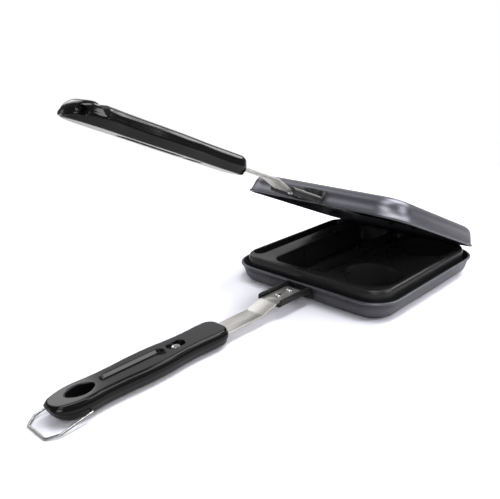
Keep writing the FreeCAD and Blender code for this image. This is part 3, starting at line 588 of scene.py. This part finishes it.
def plateHeight(x, y, p):
    # Height of the plate's face: the land less the deepest of the hollows at a point.
    s = plateSizes
    reach = rectangleReach(x - s["wellX"], y, s["wellWidth"], s["wellLength"], s["wellCorner"])
    deepest = wallDepth(reach, p["well"], p["wellRun"], p["round"])
    for side in (-1, 1):
        away = np.hypot(x - s["bowlX"], y - side * s["bowlY"])
        bowl = bowlDepth(away, s["bowlRadius"], p["bowl"], p["round"] * s["bowlLip"])
        deepest = np.maximum(deepest, bowl)
    for rowX in screwRows["x"]:
        reach = rectangleReach(x - rowX, y, s["grooveWidth"], s["grooveLength"], s["grooveWidth"] / 2 - 0.01)
        groove = wallDepth(reach, p["groove"], p["grooveRun"], p["round"] * s["grooveLip"])
        deepest = np.maximum(deepest, groove)
    for spotX, spotY in plateScrewSpots:
        reach = s["pocketRadius"] - np.hypot(x - spotX, y - spotY)
        pocket = wallDepth(reach, p["pocket"], p["pocketRun"], p["round"] * s["pocketLip"])
        deepest = np.maximum(deepest, pocket)
    return p["land"] - deepest


def plateGrid(drawn):
    # X and Y of the face's grid, whose corners are drawn in to the plate's round corners.
    s = plateSizes
    a, b, corner = s["width"] / 2 - drawn, s["depth"] / 2 - drawn, s["cornerRadius"] - drawn
    xs = bands(-a, a, gridSteps["coarse"], gridSteps["x"])
    ys = bands(-b, b, gridSteps["coarse"], gridSteps["y"])
    x, y = np.meshgrid(xs, ys, indexing="ij")
    qx, qy = np.abs(x) - (a - corner), np.abs(y) - (b - corner)
    both = (qx > 0) & (qy > 0)
    shrink = np.where(both, np.maximum(qx, qy) / np.where(both, np.hypot(qx, qy), 1), 1)
    x = np.where(both, np.sign(x) * (a - corner + qx * shrink), x)
    y = np.where(both, np.sign(y) * (b - corner + qy * shrink), y)
    return x, y


def rimOf(grid):
    # The points round the border of a grid, each once.
    return np.concatenate([grid[:-1, 0], grid[-1, :-1], grid[:0:-1, -1], grid[0, :0:-1]])


def cookingPlate(half):
    # A cast plate: its face is a height over a grid, its rim is carried on down the skirt,
    # and its back follows the face one wall below.
    s, p = plateSizes, plates[half]
    wall, land, edge, foot = s["wall"], p["land"], s["edgeRadius"], s["footRadius"]
    slope = math.tan(math.radians(s["sideDraftDeg"]))
    drawn = p["skirt"] * slope + edge
    x, y = plateGrid(drawn)
    face = np.stack([x, y, plateHeight(x, y, p)], -1)
    face[[0, -1], :, 2] = face[:, [0, -1], 2] = land
    work = Patchwork()
    work.grid(face)

    # The rim loop of the grid, carried out and down: arc of the edge radius, sloping skirt
    loop = rimOf(face)[:, :2]
    low, inner = land - p["skirt"], wall - drawn
    skirt = roundCorners([(0, land), (-edge, land), (-drawn, low), (inner, low),
                          (inner + (p["skirt"] - wall) * slope, land - wall), (0, land - wall)],
                         [edge * 0.98, foot, foot, max(0.2, edge - wall)], 9)
    work.grid(sweptWall((loop, inwardNormals(loop)), skirt), closedU=True)

    # The back: every third grid line, one wall below the lowest of the face nearby
    keepX, keepY = [np.unique(np.r_[0:n:gridSteps["back"], n - 1]) for n in x.shape]
    back = face[np.ix_(keepX, keepY)].copy()
    offsets = (-s["backReach"], 0, s["backReach"])
    near = [plateHeight(back[..., 0] + dx, back[..., 1] + dy, p) for dx in offsets for dy in offsets]
    back[..., 2] = np.min(near, axis=0) - wall
    back[[0, -1], :, 2] = back[:, [0, -1], 2] = land - wall
    work.grid(back, flip=True)

    # Fans join the back's coarse border to the rim loop's points
    rim = np.column_stack([loop, np.full(len(loop), land - wall)])
    marks = {tuple(np.round(point[:2], 4)): k for k, point in enumerate(rim)}
    stops = [marks[tuple(np.round(point[:2], 4))] for point in rimOf(back)]
    fans = []
    for here, after in zip(stops, stops[1:] + [stops[0] + len(rim)]):
        if after - here > 1:
            fans.append(tuple(k % len(rim) for k in range(here, after + 1)))
    work.add(rim, fans)
    halfPiece(work, half, "CookingPlate", "nonstick", "_cooking_plate", nonStick, mergeDistance=5e-4)


cookingPlate("lower")
cookingPlate("upper")
print("cooking plates made")


# Screws and rivets

screwSizes = {"headRadius": 3.1, "headHeight": 1.9, "rimShare": 0.45, "shaftRadius": 1.5, "tipHeight": 0.6,
              "crossReach": 2.05, "crossHalf": 0.42, "crossDepth": 1.0, "crossEdge": 0.22, "pole": 0.02,
              "plateLength": {"lower": 8.0, "upper": 4.2}, "firstSpin": 0.35, "spinStep": 0.9,
              "gripLength": 6.6, "gripPlace": (0, -188.0, 10.1), "gripSpin": 0.5}
rivetSizes = {"headRadius": 2.5, "headHeight": 1.7, "flushHeight": 0.3, "shankRadius": 1.6,
              "tailRadius": 2.5, "tailHeight": 0.8, "tailBreak": 0.25, "pole": 0.02,
              "strapYs": (-82.7, -94.7), "strapZ": 12.3, "strapGrip": 3.1}
# Rivets through the shell's wall: side, places across, distance below the lip, sheet outside the wall
wallRows = {"bracketFoot": (-1, (-6, 6), 5.8, 1.6), "hingeLeaf": (1, (-11, 11), 5.7, 1.5)}


def crossScrew(length, sides=64, rings=22):
    # A screw along Z: a domed head over polar rings, z = dome(r) less a cross recess.
    s = screwSizes
    head, shaft, rimZ = s["headRadius"], s["shaftRadius"], s["headHeight"] * s["rimShare"]
    t = np.arange(sides) * 2 * np.pi / sides
    r = head * np.sin(np.linspace(0, np.pi / 2, rings)) ** 0.8
    r[0] = s["pole"]
    radius, angle = np.meshgrid(r, t, indexing="ij")
    x, y = radius * np.cos(angle), radius * np.sin(angle)
    dome = rimZ + (s["headHeight"] - rimZ) * np.sqrt(np.maximum(1 - (radius / head) ** 2.4, 0))
    arm = np.maximum(np.minimum(s["crossHalf"] - np.abs(x), s["crossReach"] - np.abs(y)),
                     np.minimum(s["crossHalf"] - np.abs(y), s["crossReach"] - np.abs(x)))
    z = dome - s["crossDepth"] * np.clip(0.5 + arm / s["crossEdge"], 0, 1)
    side = [(head * 0.98, 0.05), (head * 0.94, 0), (shaft, 0), (shaft, s["tipHeight"] - length),
            (shaft * 0.55, -length), (s["pole"], -length)]
    return np.concatenate([np.stack([x, y, z], -1), turned(side, sides)])


def rivetShape(grip, headHeight=rivetSizes["headHeight"], sides=40):
    # A rivet along Z: round domed head above 0, shank through the grip, flat tail.
    s = rivetSizes
    dome = [(s["headRadius"] * math.cos(u), headHeight * math.sin(u) ** 0.9)
            for u in np.linspace(math.pi / 2 - s["pole"], 0, 12)]
    low = -grip - s["tailHeight"]
    shank, tail = s["shankRadius"], s["tailRadius"]
    rest = [(s["headRadius"], 0), (shank, 0), (shank, -grip), (tail, -grip), (tail, low + s["tailBreak"]),
            (tail - s["tailBreak"], low), (s["pole"], low)]
    return turned(dome + rest, sides)


def addScrew(work, length, place, spin):
    # A screw at a place, its cross turned by the spin in radians.
    c, sine = math.cos(spin), math.sin(spin)
    turn = np.array([[c, sine, 0], [-sine, c, 0], [0, 0, 1]])
    work.tube(crossScrew(length) @ turn + np.array(place))


def plateScrews(half):
    s, p = screwSizes, plates[half]
    work = Patchwork()
    for k, (x, y) in enumerate(plateScrewSpots):
        place = (x, y, p["land"] - p["pocket"])
        addScrew(work, s["plateLength"][half], place, s["firstSpin"] + s["spinStep"] * k)
    halfPiece(work, half, "PlateScrews", "screw", "_plate_screws", screwSteel, sharpDeg=50)


def gripScrew(half):
    s = screwSizes
    work = Patchwork()
    addScrew(work, s["gripLength"], s["gripPlace"], s["gripSpin"])
    halfPiece(work, half, "GripScrew", "screw", "_handle_screw", screwSteel, sharpDeg=50)


def strapRivets(half):
    # Two bright rivets through strap and bracket.
    s = rivetSizes
    work = Patchwork()
    for y in s["strapYs"]:
        work.tube(rivetShape(s["strapGrip"]) + np.array((0, y, s["strapZ"])))
    halfPiece(work, half, "StrapRivets", "rivet", "_rivets", rivetSteel, sharpDeg=50)


def wallRivets(half):
    # Two flush rivets in the bracket's foot and two in the hinge leaf, painted over with both.
    # Each is turned about X until it stands square to the sloping wall.
    s = shellSizes
    draft = math.radians(s["draftDeg"])
    c, sine = math.cos(draft), math.sin(draft)
    work = Patchwork()
    for side, xs, below, sheet in wallRows.values():
        down = (s["lipHeight"] + s["neckStep"]) / c + below
        shape = rivetShape(sheet + s["wall"], rivetSizes["flushHeight"])
        shape = shape @ np.array([[1, 0, 0], [0, -sine, -side * c], [0, side * c, -sine]])
        y = side * (s["depth"] / 2 - down * sine + sheet * c)
        for x in xs:
            work.tube(shape + np.array((x, y, s["height"] - down * c - sheet * sine)))
    halfPiece(work, half, "WallRivets", "rivet", None, blackPaint, sharpDeg=50)


for half in ("lower", "upper"):
    plateScrews(half)
for half in ("lower", "upper"):
    gripScrew(half)
for half in ("lower", "upper"):
    strapRivets(half)
    wallRivets(half)
print("screws and rivets made")


# Brackets, straps and hinge

for half in ("lower", "upper"):
    body = half + "_pan"
    bevelledCopy(half + "_bracket", half + "PressedBracket", 0.32, body, blackPaint)
    bevelledCopy(half + "_strap", half + "SteelStrap", 0.25, body, strapSteel)
    bevelledCopy(half + "_hinge_leaf", half + "HingeLeaf", 0.2, body, blackPaint)
bevelledCopy("hinge_pin", "hingePinSteel", 0.25, "lower_pan", rivetSteel)
print("brackets, straps and hinge made")


# Grips

gripSizes = {"frontY": -150.5, "rearY": -273.2, "faceZ": 12.8, "backZ": 1.4, "faceRadius": 1.9,
             "backRadius": 4.6, "faceDraw": 0.5, "backDraw": 0.4, "seamDraw": 0.05, "sideBow": 0.8,
             "frontHalf": 2.9, "frontRadius": 7.6, "noseRadius": 8.4, "heelReach": 12.6, "heelLift": 9.4,
             "faceStrip": 3.2, "backStrip": 0.3, "rimStrip": 0.8, "floorStrip": 1.2, "outlineStep": 1.3}
# Hollows in the face: width, length, middle along Y, depth, lean of the wall, radius of its lip
gripHollows = {"thumbGroove": (8.6, 44.4, -218.5, 2.1, 1.4, 0.5),
               "screwPocket": (7.6, 13.0, -188.0, 2.7, 0.25, 0.35)}
# Holes cut through: the lower grip's eye, the upper grip's latch notch and cross hole
gripCuts = {"eyeLength": 17.0, "eyeWidth": 10.8, "eyeY": -253.4, "eyeRound": 0.7, "eyePinch": 0.28,
            "eyePast": 3.0, "notchY": -254.4, "notchDepth": 7.6, "notchMouth": 6.8, "notchRound": 0.75,
            "notchPast": 5.0, "notchHalf": 18.0, "crossY": -268.2, "crossZ": 7.2, "crossRadius": 2.2,
            "mouthStart": 4.6, "mouthDepth": 5.0, "mouthRise": 1.7, "coneX": 16.0, "coneRise": 6.0}
# Distance behind the front and half width of each swell and waist, the rear lobe last
gripSwells = [(8.96, 10.6), (27.5, 9.9), (57.0, 11.4), (90.0, 10.1), (103.0, 10.8)]


def tangentPair(low, high):
    # Two equal tangent arcs up a right-hand side, both ends along Y.
    (a1, y1), (a2, y2) = low, high
    rise, run = a2 - a1, y2 - y1
    radius = (run ** 2 + rise ** 2) / (4 * abs(rise))
    turn = math.degrees(math.asin(run / 2 / radius))
    bulge = math.copysign(radius, rise)
    return [((a1, y1), (a1 + bulge, y1), math.copysign(turn, -rise)),
            (((a1 + a2) / 2, (y1 + y2) / 2), (a2 - bulge, y2), math.copysign(turn, rise))]


def gripOutline():
    # A grip from its face: round nose, lobe, two waists, palm swell and round front.
    s = gripSizes
    swells = [(half, s["frontY"] - along) for along, half in reversed(gripSwells)]
    lobeHalf, lobeY = swells[0]
    frontHalf, frontSwellY = swells[-1]
    nose = np.array([0, s["rearY"] + s["noseRadius"]])
    reach = lobeY - nose[1]
    radius = (reach ** 2 + lobeHalf ** 2 - s["noseRadius"] ** 2) / (2 * (lobeHalf - s["noseRadius"]))
    side = np.array([lobeHalf - radius, lobeY])
    touch = nose + (nose - side) / np.linalg.norm(nose - side) * s["noseRadius"]
    lift = math.degrees(math.atan2(side[1] - nose[1], nose[0] - side[0]))
    right = [(touch, side, lift)]
    for low, high in zip(swells, swells[1:]):
        right += tangentPair(low, high)
    corner = np.array([s["frontHalf"], s["frontY"] - s["frontRadius"]])
    out = frontHalf - s["frontHalf"]
    reach = corner[1] - frontSwellY
    radius = (out ** 2 + reach ** 2 - s["frontRadius"] ** 2) / (2 * (out - s["frontRadius"]))
    side = np.array([frontHalf - radius, frontSwellY])
    turn = math.atan2(reach, corner[0] - side[0])
    right.append(((frontHalf, frontSwellY), side, math.degrees(turn)))
    meet = side + radius * np.array([math.cos(turn), math.sin(turn)])
    right.append((meet, corner, 90 - math.degrees(turn)))
    # The left side is the right one mirrored and run backwards, from each arc's end
    ends = [element[0] for element in right[1:]] + [(s["frontHalf"], s["frontY"])]
    left = [((-end[0], end[1]), (-centre[0], centre[1]), angle)
            for (_, centre, angle), end in reversed(list(zip(right, ends)))]
    flat = ((s["frontHalf"], s["frontY"]), (-s["frontHalf"], s["frontY"]))
    noseArc = ((-touch[0], touch[1]), tuple(nose), 180 - 2 * lift)
    return arcs(right + [flat] + left + [noseArc], arcStepDeg=4, lineStep=1.2)


def evenly(outline, spacing):
    # An outline resampled so that no two neighbours are further apart than the spacing.
    # A new point is its place on the chord, set out by the arc's rise 4 h t (1 - t).
    points, normals = outline
    outPoints, outNormals = [], []
    for a, b, n, m in zip(points, np.roll(points, -1, axis=0), normals, np.roll(normals, -1, axis=0)):
        length = np.linalg.norm(b - a)
        steps = max(1, math.ceil(length / spacing))
        chord = (b - a) / max(length, 1e-9)
        rise = (n @ chord - m @ chord) / 8 * length
        for t in np.arange(steps) / steps:
            normal = n * (1 - t) + m * t
            normal /= np.linalg.norm(normal)
            outPoints.append(a + (b - a) * t - normal * rise * 4 * t * (1 - t))
            outNormals.append(normal)
    return np.array(outPoints), np.array(outNormals)


def lensOutline(width, length, centreY, pinch, sides=72):
    # A lens with softly rounded tips: x = a cos(t) (1 - pinch sin(t)^2), y = b sin(t).
    t = np.arange(sides) * 2 * np.pi / sides
    x = width / 2 * np.cos(t) * (1 - pinch * np.sin(t) ** 2)
    points = np.stack([x, length / 2 * np.sin(t) + centreY], 1)
    return points, inwardNormals(points)


def grip(half):
    # A moulded grip: one profile carried round its outline, a flat face with a thumb groove
    # and a screw pocket, and the holes of its half cut through.
    s = gripSizes
    outline = evenly(gripOutline(), s["outlineStep"])
    faceZ, backZ = s["faceZ"], s["backZ"]
    seam = (s["seamDraw"], (faceZ + backZ) / 2)
    faceRound = roundCorners([(s["faceDraw"] + s["faceStrip"], faceZ), (s["faceDraw"], faceZ), seam],
                             [s["faceRadius"]], 9)[:-1]
    backEnd = s["backDraw"] + s["backRadius"] + s["backStrip"]
    backRound = roundCorners([seam, (s["backDraw"], backZ), (backEnd, backZ)], [s["backRadius"]], 9)[1:]
    # Between the rounds of face and back the side is bowed by a parabola
    t = np.linspace(0, 1, 9)[1:-1, None]
    bow = s["sideBow"] * 4 * t * (1 - t) * np.array([1, 0])
    profile = np.concatenate([faceRound, faceRound[-1] * (1 - t) + backRound[0] * t - bow, backRound])
    work = Patchwork()
    work.grid(sweptWall(outline, profile), closedU=True)

    # Hollows in the face: each a profile carried round its own outline down to a floor
    faceHoles = []
    for width, length, y, depth, lean, lip in gripHollows.values():
        rim = slotOutline(width, length, (0, y), arcStepDeg=8, lineStep=1.6)
        floorZ, foot = faceZ - depth, lean + s["floorStrip"]
        corners = [(-s["rimStrip"], faceZ), (0, faceZ), (lean, floorZ), (foot, floorZ)]
        wall = roundCorners(corners, [lip, lip], 15)
        work.grid(sweptWall(rim, wall), closedU=True)
        faceHoles.append(rim[0] - rim[1] * s["rimStrip"])
        work.add(*levelSheet(rim[0] + rim[1] * foot, [], floorZ))
    work.add(*levelSheet(outline[0] + outline[1] * profile[0][0], faceHoles, faceZ))
    work.add(*levelSheet(outline[0] + outline[1] * profile[-1][0], [], backZ))

    # The heel: near the rear end the back lifts along an ellipse, height scaled to the face
    for part in work.points:
        along = np.clip((part[:, 1] - s["rearY"]) / s["heelReach"], 0, 1)
        lift = s["heelLift"] * (1 - np.sqrt(along * (2 - along)))
        part[:, 2] = faceZ - (faceZ - part[:, 2]) * (faceZ - backZ - lift) / (faceZ - backZ)
    piece = work.build(half + "MouldedGrip", sharpDeg=62)
    cutGrip(piece, [eyeTool()] if half == "lower" else [notchTool(), crossHoleTool()])
    if half == "upper":
        points = np.zeros(len(piece.data.vertices) * 3)
        piece.data.vertices.foreach_get("co", points)
        points = toLid(points.reshape(-1, 3) / mm) * mm
        piece.data.vertices.foreach_set("co", points.ravel())
        piece.data.flip_normals()
        piece.data.update()
    return finish(piece, half + "_pan", [half + "_handle"], blackGrip)


def cutter(name, rings):
    # A closed tube to cut with, hidden from the render.
    work = Patchwork()
    work.tube(rings)
    tool = work.build(name)
    tool.hide_render = True
    return tool


def eyeTool():
    # The hanging eye: a lens through the grip that flares at the face by its round.
    s, lip, faceZ = gripCuts, gripCuts["eyeRound"], gripSizes["faceZ"]
    turn = np.radians(np.linspace(0, 90, 5))
    flare = [(-lip * (1 - math.cos(u)), faceZ - lip + lip * math.sin(u)) for u in turn]
    wall = [(0, gripSizes["backZ"] - s["eyePast"])] + flare + [(-lip, faceZ + s["eyePast"])]
    rim = lensOutline(s["eyeWidth"], s["eyeLength"], s["eyeY"], s["eyePinch"])
    return cutter("eyeTool", np.swapaxes(sweptWall(rim, wall), 0, 1))


def notchTool():
    # The latch notch across the back: a V with a round root and an upright front wall.
    s, y = gripCuts, gripCuts["notchY"]
    top, low = gripSizes["backZ"] + s["notchDepth"], gripSizes["backZ"] - s["notchPast"]
    spread = s["notchMouth"] * (s["notchDepth"] + s["notchPast"]) / s["notchDepth"]
    shape = roundCorners([(y, low), (y, top), (y - spread, low)], [s["notchRound"]], 12)
    ends = (-s["notchHalf"], s["notchHalf"])
    return cutter("notchTool", np.array([[(x, y, z) for y, z in shape] for x in ends]))


def crossHoleTool():
    # The cross hole with bell mouths: x = start + depth sin(t), r = radius + rise (1 - cos(t)).
    s = gripCuts
    turn = np.radians(np.linspace(0, 80, 9))
    x = s["mouthStart"] + s["mouthDepth"] * np.sin(turn)
    r = s["crossRadius"] + s["mouthRise"] * (1 - np.cos(turn))
    bell = np.concatenate([np.stack([r, x], 1), [(r[-1] + s["coneRise"], s["coneX"])]])
    rings = turned(np.concatenate([bell[::-1] * (1, -1), bell]), 40)
    return cutter("crossHoleTool", rings[..., [2, 0, 1]] + (0, s["crossY"], s["crossZ"]))


def cutGrip(piece, tools):
    # Take each tool's shape out of the grip and keep the result as its mesh.
    for tool in tools:
        cut = piece.modifiers.new(tool.name, "BOOLEAN")
        cut.operation = "DIFFERENCE"
        cut.solver = "EXACT"
        cut.object = tool
    graph = bpy.context.evaluated_depsgraph_get()
    mesh = bpy.data.meshes.new_from_object(piece.evaluated_get(graph))
    piece.modifiers.clear()
    piece.data = mesh
    mesh.polygons.foreach_set("use_smooth", np.ones(len(mesh.polygons), bool))
    mesh.set_sharp_from_angle(angle=math.radians(32))
    for tool in tools:
        bpy.data.objects.remove(tool)


grip("lower")
grip("upper")
print("grips made")


# Wire latch

wireSizes = {"radius": 0.75, "pivotY": -254.4, "pivotZ": 5.6, "half": 12.7, "tipHalf": 8.6, "leg": 20.0,
             "reach": 26.2, "pinInside": 8.0, "bend": 1.8, "floorGap": 0.05}


def tubeAlong(path, radius, sides=16):
    # A round tube along a nearly level path: ring = point + radius (cos(t) side + sin(t) up).
    ahead = np.gradient(path, axis=0)
    ahead /= np.linalg.norm(ahead, axis=1)[:, None]
    side = np.cross(np.array([0.0, 0.0, 1.0]), ahead)
    side /= np.linalg.norm(side, axis=1)[:, None]
    up = np.cross(ahead, side)
    t = (np.arange(sides) * 2 * np.pi / sides)[None, :, None]
    return path[:, None] + radius * (np.cos(t) * side[:, None] + np.sin(t) * up[:, None])


def wireLatch():
    # A bent wire whose ends turn in the lower grip, tilted until its bar lies on the table.
    s = wireSizes
    right = [(s["pinInside"], 0), (s["half"], 0), (s["half"], s["leg"]), (s["tipHalf"], s["reach"])]
    plan = roundCorners(right + [(-x, along) for x, along in reversed(right)], [s["bend"]] * 6, 10)
    tilt = math.asin((s["pivotZ"] - s["radius"] - s["floorGap"]) / s["reach"])
    path = np.stack([plan[:, 0], s["pivotY"] - plan[:, 1] * math.cos(tilt),
                     s["pivotZ"] - plan[:, 1] * math.sin(tilt)], 1)
    work = Patchwork()
    work.tube(tubeAlong(path, s["radius"]))
    return finish(work.build("wireLatch", sharpDeg=50), "latch", ["wire_latch"], wireSteel)


wireLatch()
print("wire latch made")


# Floor, light and camera

studio = {"floorColour": 0.66, "seenFloor": (1.10, 1.10, 1.19, 1), "fadeFrom": 0.30, "fadeTo": 0.46,
          "world": 0.13, "tableReach": 4000.0}
# Lamps: place, point that it faces and size in metres, power in watts
lamps = {"overheadSoftbox": ((0.18, -0.12, 1.0), (0, -0.08, 0), (0.6, 0.35), 5.0),
         "leftSoftbox": ((-0.85, 0.1, 0.85), (0, -0.05, 0.02), (0.35, 0.9), 2.4),
         "rearOverheadBox": ((0.12, 0.62, 0.95), (0, -0.1, 0.05), (0.5, 0.5), 8.0),
         "rearSoftbox": ((0.2, 1.1, 0.72), (0, -0.1, 0.08), (0.8, 0.34), 6.0),
         "rearLeftPanel": ((-0.92, 0.6, 0.62), (0, -0.12, 0.02), (1.3, 0.6), 2.2),
         "frontFill": ((0.75, -0.8, 0.6), (0.02, 0, 0.02), (0.5, 0.5), 3.2),
         "rightSoftbox": ((0.95, 0.42, 0.66), (0, 0, 0.03), (0.5, 0.4), 5.0),
         "leftStrip": ((-0.85, -0.62, 0.42), (0, -0.2, 0.08), (0.4, 0.5), 0.9)}
# The photograph's place in millimetres, and yaw from +Y, pitch down and roll in radians
view = {"x": 262.3, "y": -392.4, "z": 188.9, "yaw": 0.7695, "pitch": 0.3425, "roll": -0.0303, "lens": 44.44}


def makeFloor():
    # A white table that runs into plain white away from the object, as a swept backdrop does.
    work = Patchwork()
    reach = studio["tableReach"]
    work.cap(np.array([(-reach, -reach, 0), (reach, -reach, 0), (reach, reach, 0), (-reach, reach, 0)]))
    floor = work.build("floor", recalculate=False)
    material = bpy.data.materials.new("whiteTable")
    material.use_nodes = True
    tree = material.node_tree
    tree.nodes.remove(tree.nodes["Principled BSDF"])
    ray = addNode(tree, "LightPath")
    plain = (studio["floorColour"],) * 3 + (1,)
    table = addNode(tree, "BsdfDiffuse")
    colour = mixed(tree, ray.outputs["Is Camera Ray"], plain, studio["seenFloor"])
    tree.links.new(colour, table.inputs["Color"])
    place = addNode(tree, "TexCoord").outputs["Object"]
    away = addNode(tree, "VectorMath", {0: place}, operation="LENGTH").outputs["Value"]
    far = ranged(tree, away, studio["fadeFrom"], studio["fadeTo"])
    seenFar = worked(tree, "MULTIPLY", far, ray.outputs["Is Camera Ray"])
    white = addNode(tree, "Emission", {"Color": (1, 1, 1, 1), "Strength": 1.0})
    both = addNode(tree, "MixShader", {0: seenFar, 1: table.outputs[0], 2: white.outputs[0]})
    tree.links.new(both.outputs[0], tree.nodes["Material Output"].inputs["Surface"])
    floor.data.materials.append(material)


def makeWorld():
    # Plain white that lights the object weakly and is seen at full strength.
    world = bpy.data.worlds.new("studio")
    world.use_nodes = True
    bpy.context.scene.world = world
    tree = world.node_tree
    ray = addNode(tree, "LightPath")
    background = tree.nodes["Background"]
    strength = addNode(tree, "Mix", {0: ray.outputs["Is Camera Ray"], 2: studio["world"], 3: 1.0},
                       data_type="FLOAT")
    tree.links.new(strength.outputs[0], background.inputs["Strength"])
    background.inputs["Color"].default_value = (1, 1, 1, 1)


def areaLamp(name, place, target, size, power):
    lamp = bpy.data.lights.new(name, "AREA")
    lamp.shape = "RECTANGLE"
    lamp.size, lamp.size_y = size
    lamp.energy = power
    lampObject = bpy.data.objects.new(name, lamp)
    bpy.context.scene.collection.objects.link(lampObject)
    lampObject.location = place
    lampObject.rotation_euler = (Vector(target) - Vector(place)).to_track_quat("-Z", "Y").to_euler()


def makeCamera():
    yaw, pitch, roll = view["yaw"], view["pitch"], view["roll"]
    ahead = Vector((-math.sin(yaw) * math.cos(pitch), math.cos(yaw) * math.cos(pitch), -math.sin(pitch)))
    right = Vector((math.cos(yaw), math.sin(yaw), 0))
    up = right.cross(ahead)
    rolledRight = math.cos(roll) * right + math.sin(roll) * up
    rolledUp = math.cos(roll) * up - math.sin(roll) * right
    camera = bpy.data.cameras.new("camera")
    camera.lens = view["lens"]
    camera.sensor_width = 36
    camera.clip_start = 0.01
    cameraObject = bpy.data.objects.new("camera", camera)
    bpy.context.scene.collection.objects.link(cameraObject)
    matrix = Matrix((rolledRight, rolledUp, -ahead)).transposed().to_4x4()
    matrix.translation = Vector((view["x"], view["y"], view["z"])) * mm
    cameraObject.matrix_world = matrix
    bpy.context.scene.camera = cameraObject


makeFloor()
makeWorld()
for name, values in lamps.items():
    areaLamp(name, *values)
makeCamera()
bpy.context.scene.view_settings.view_transform = "Standard"
print("studio made")
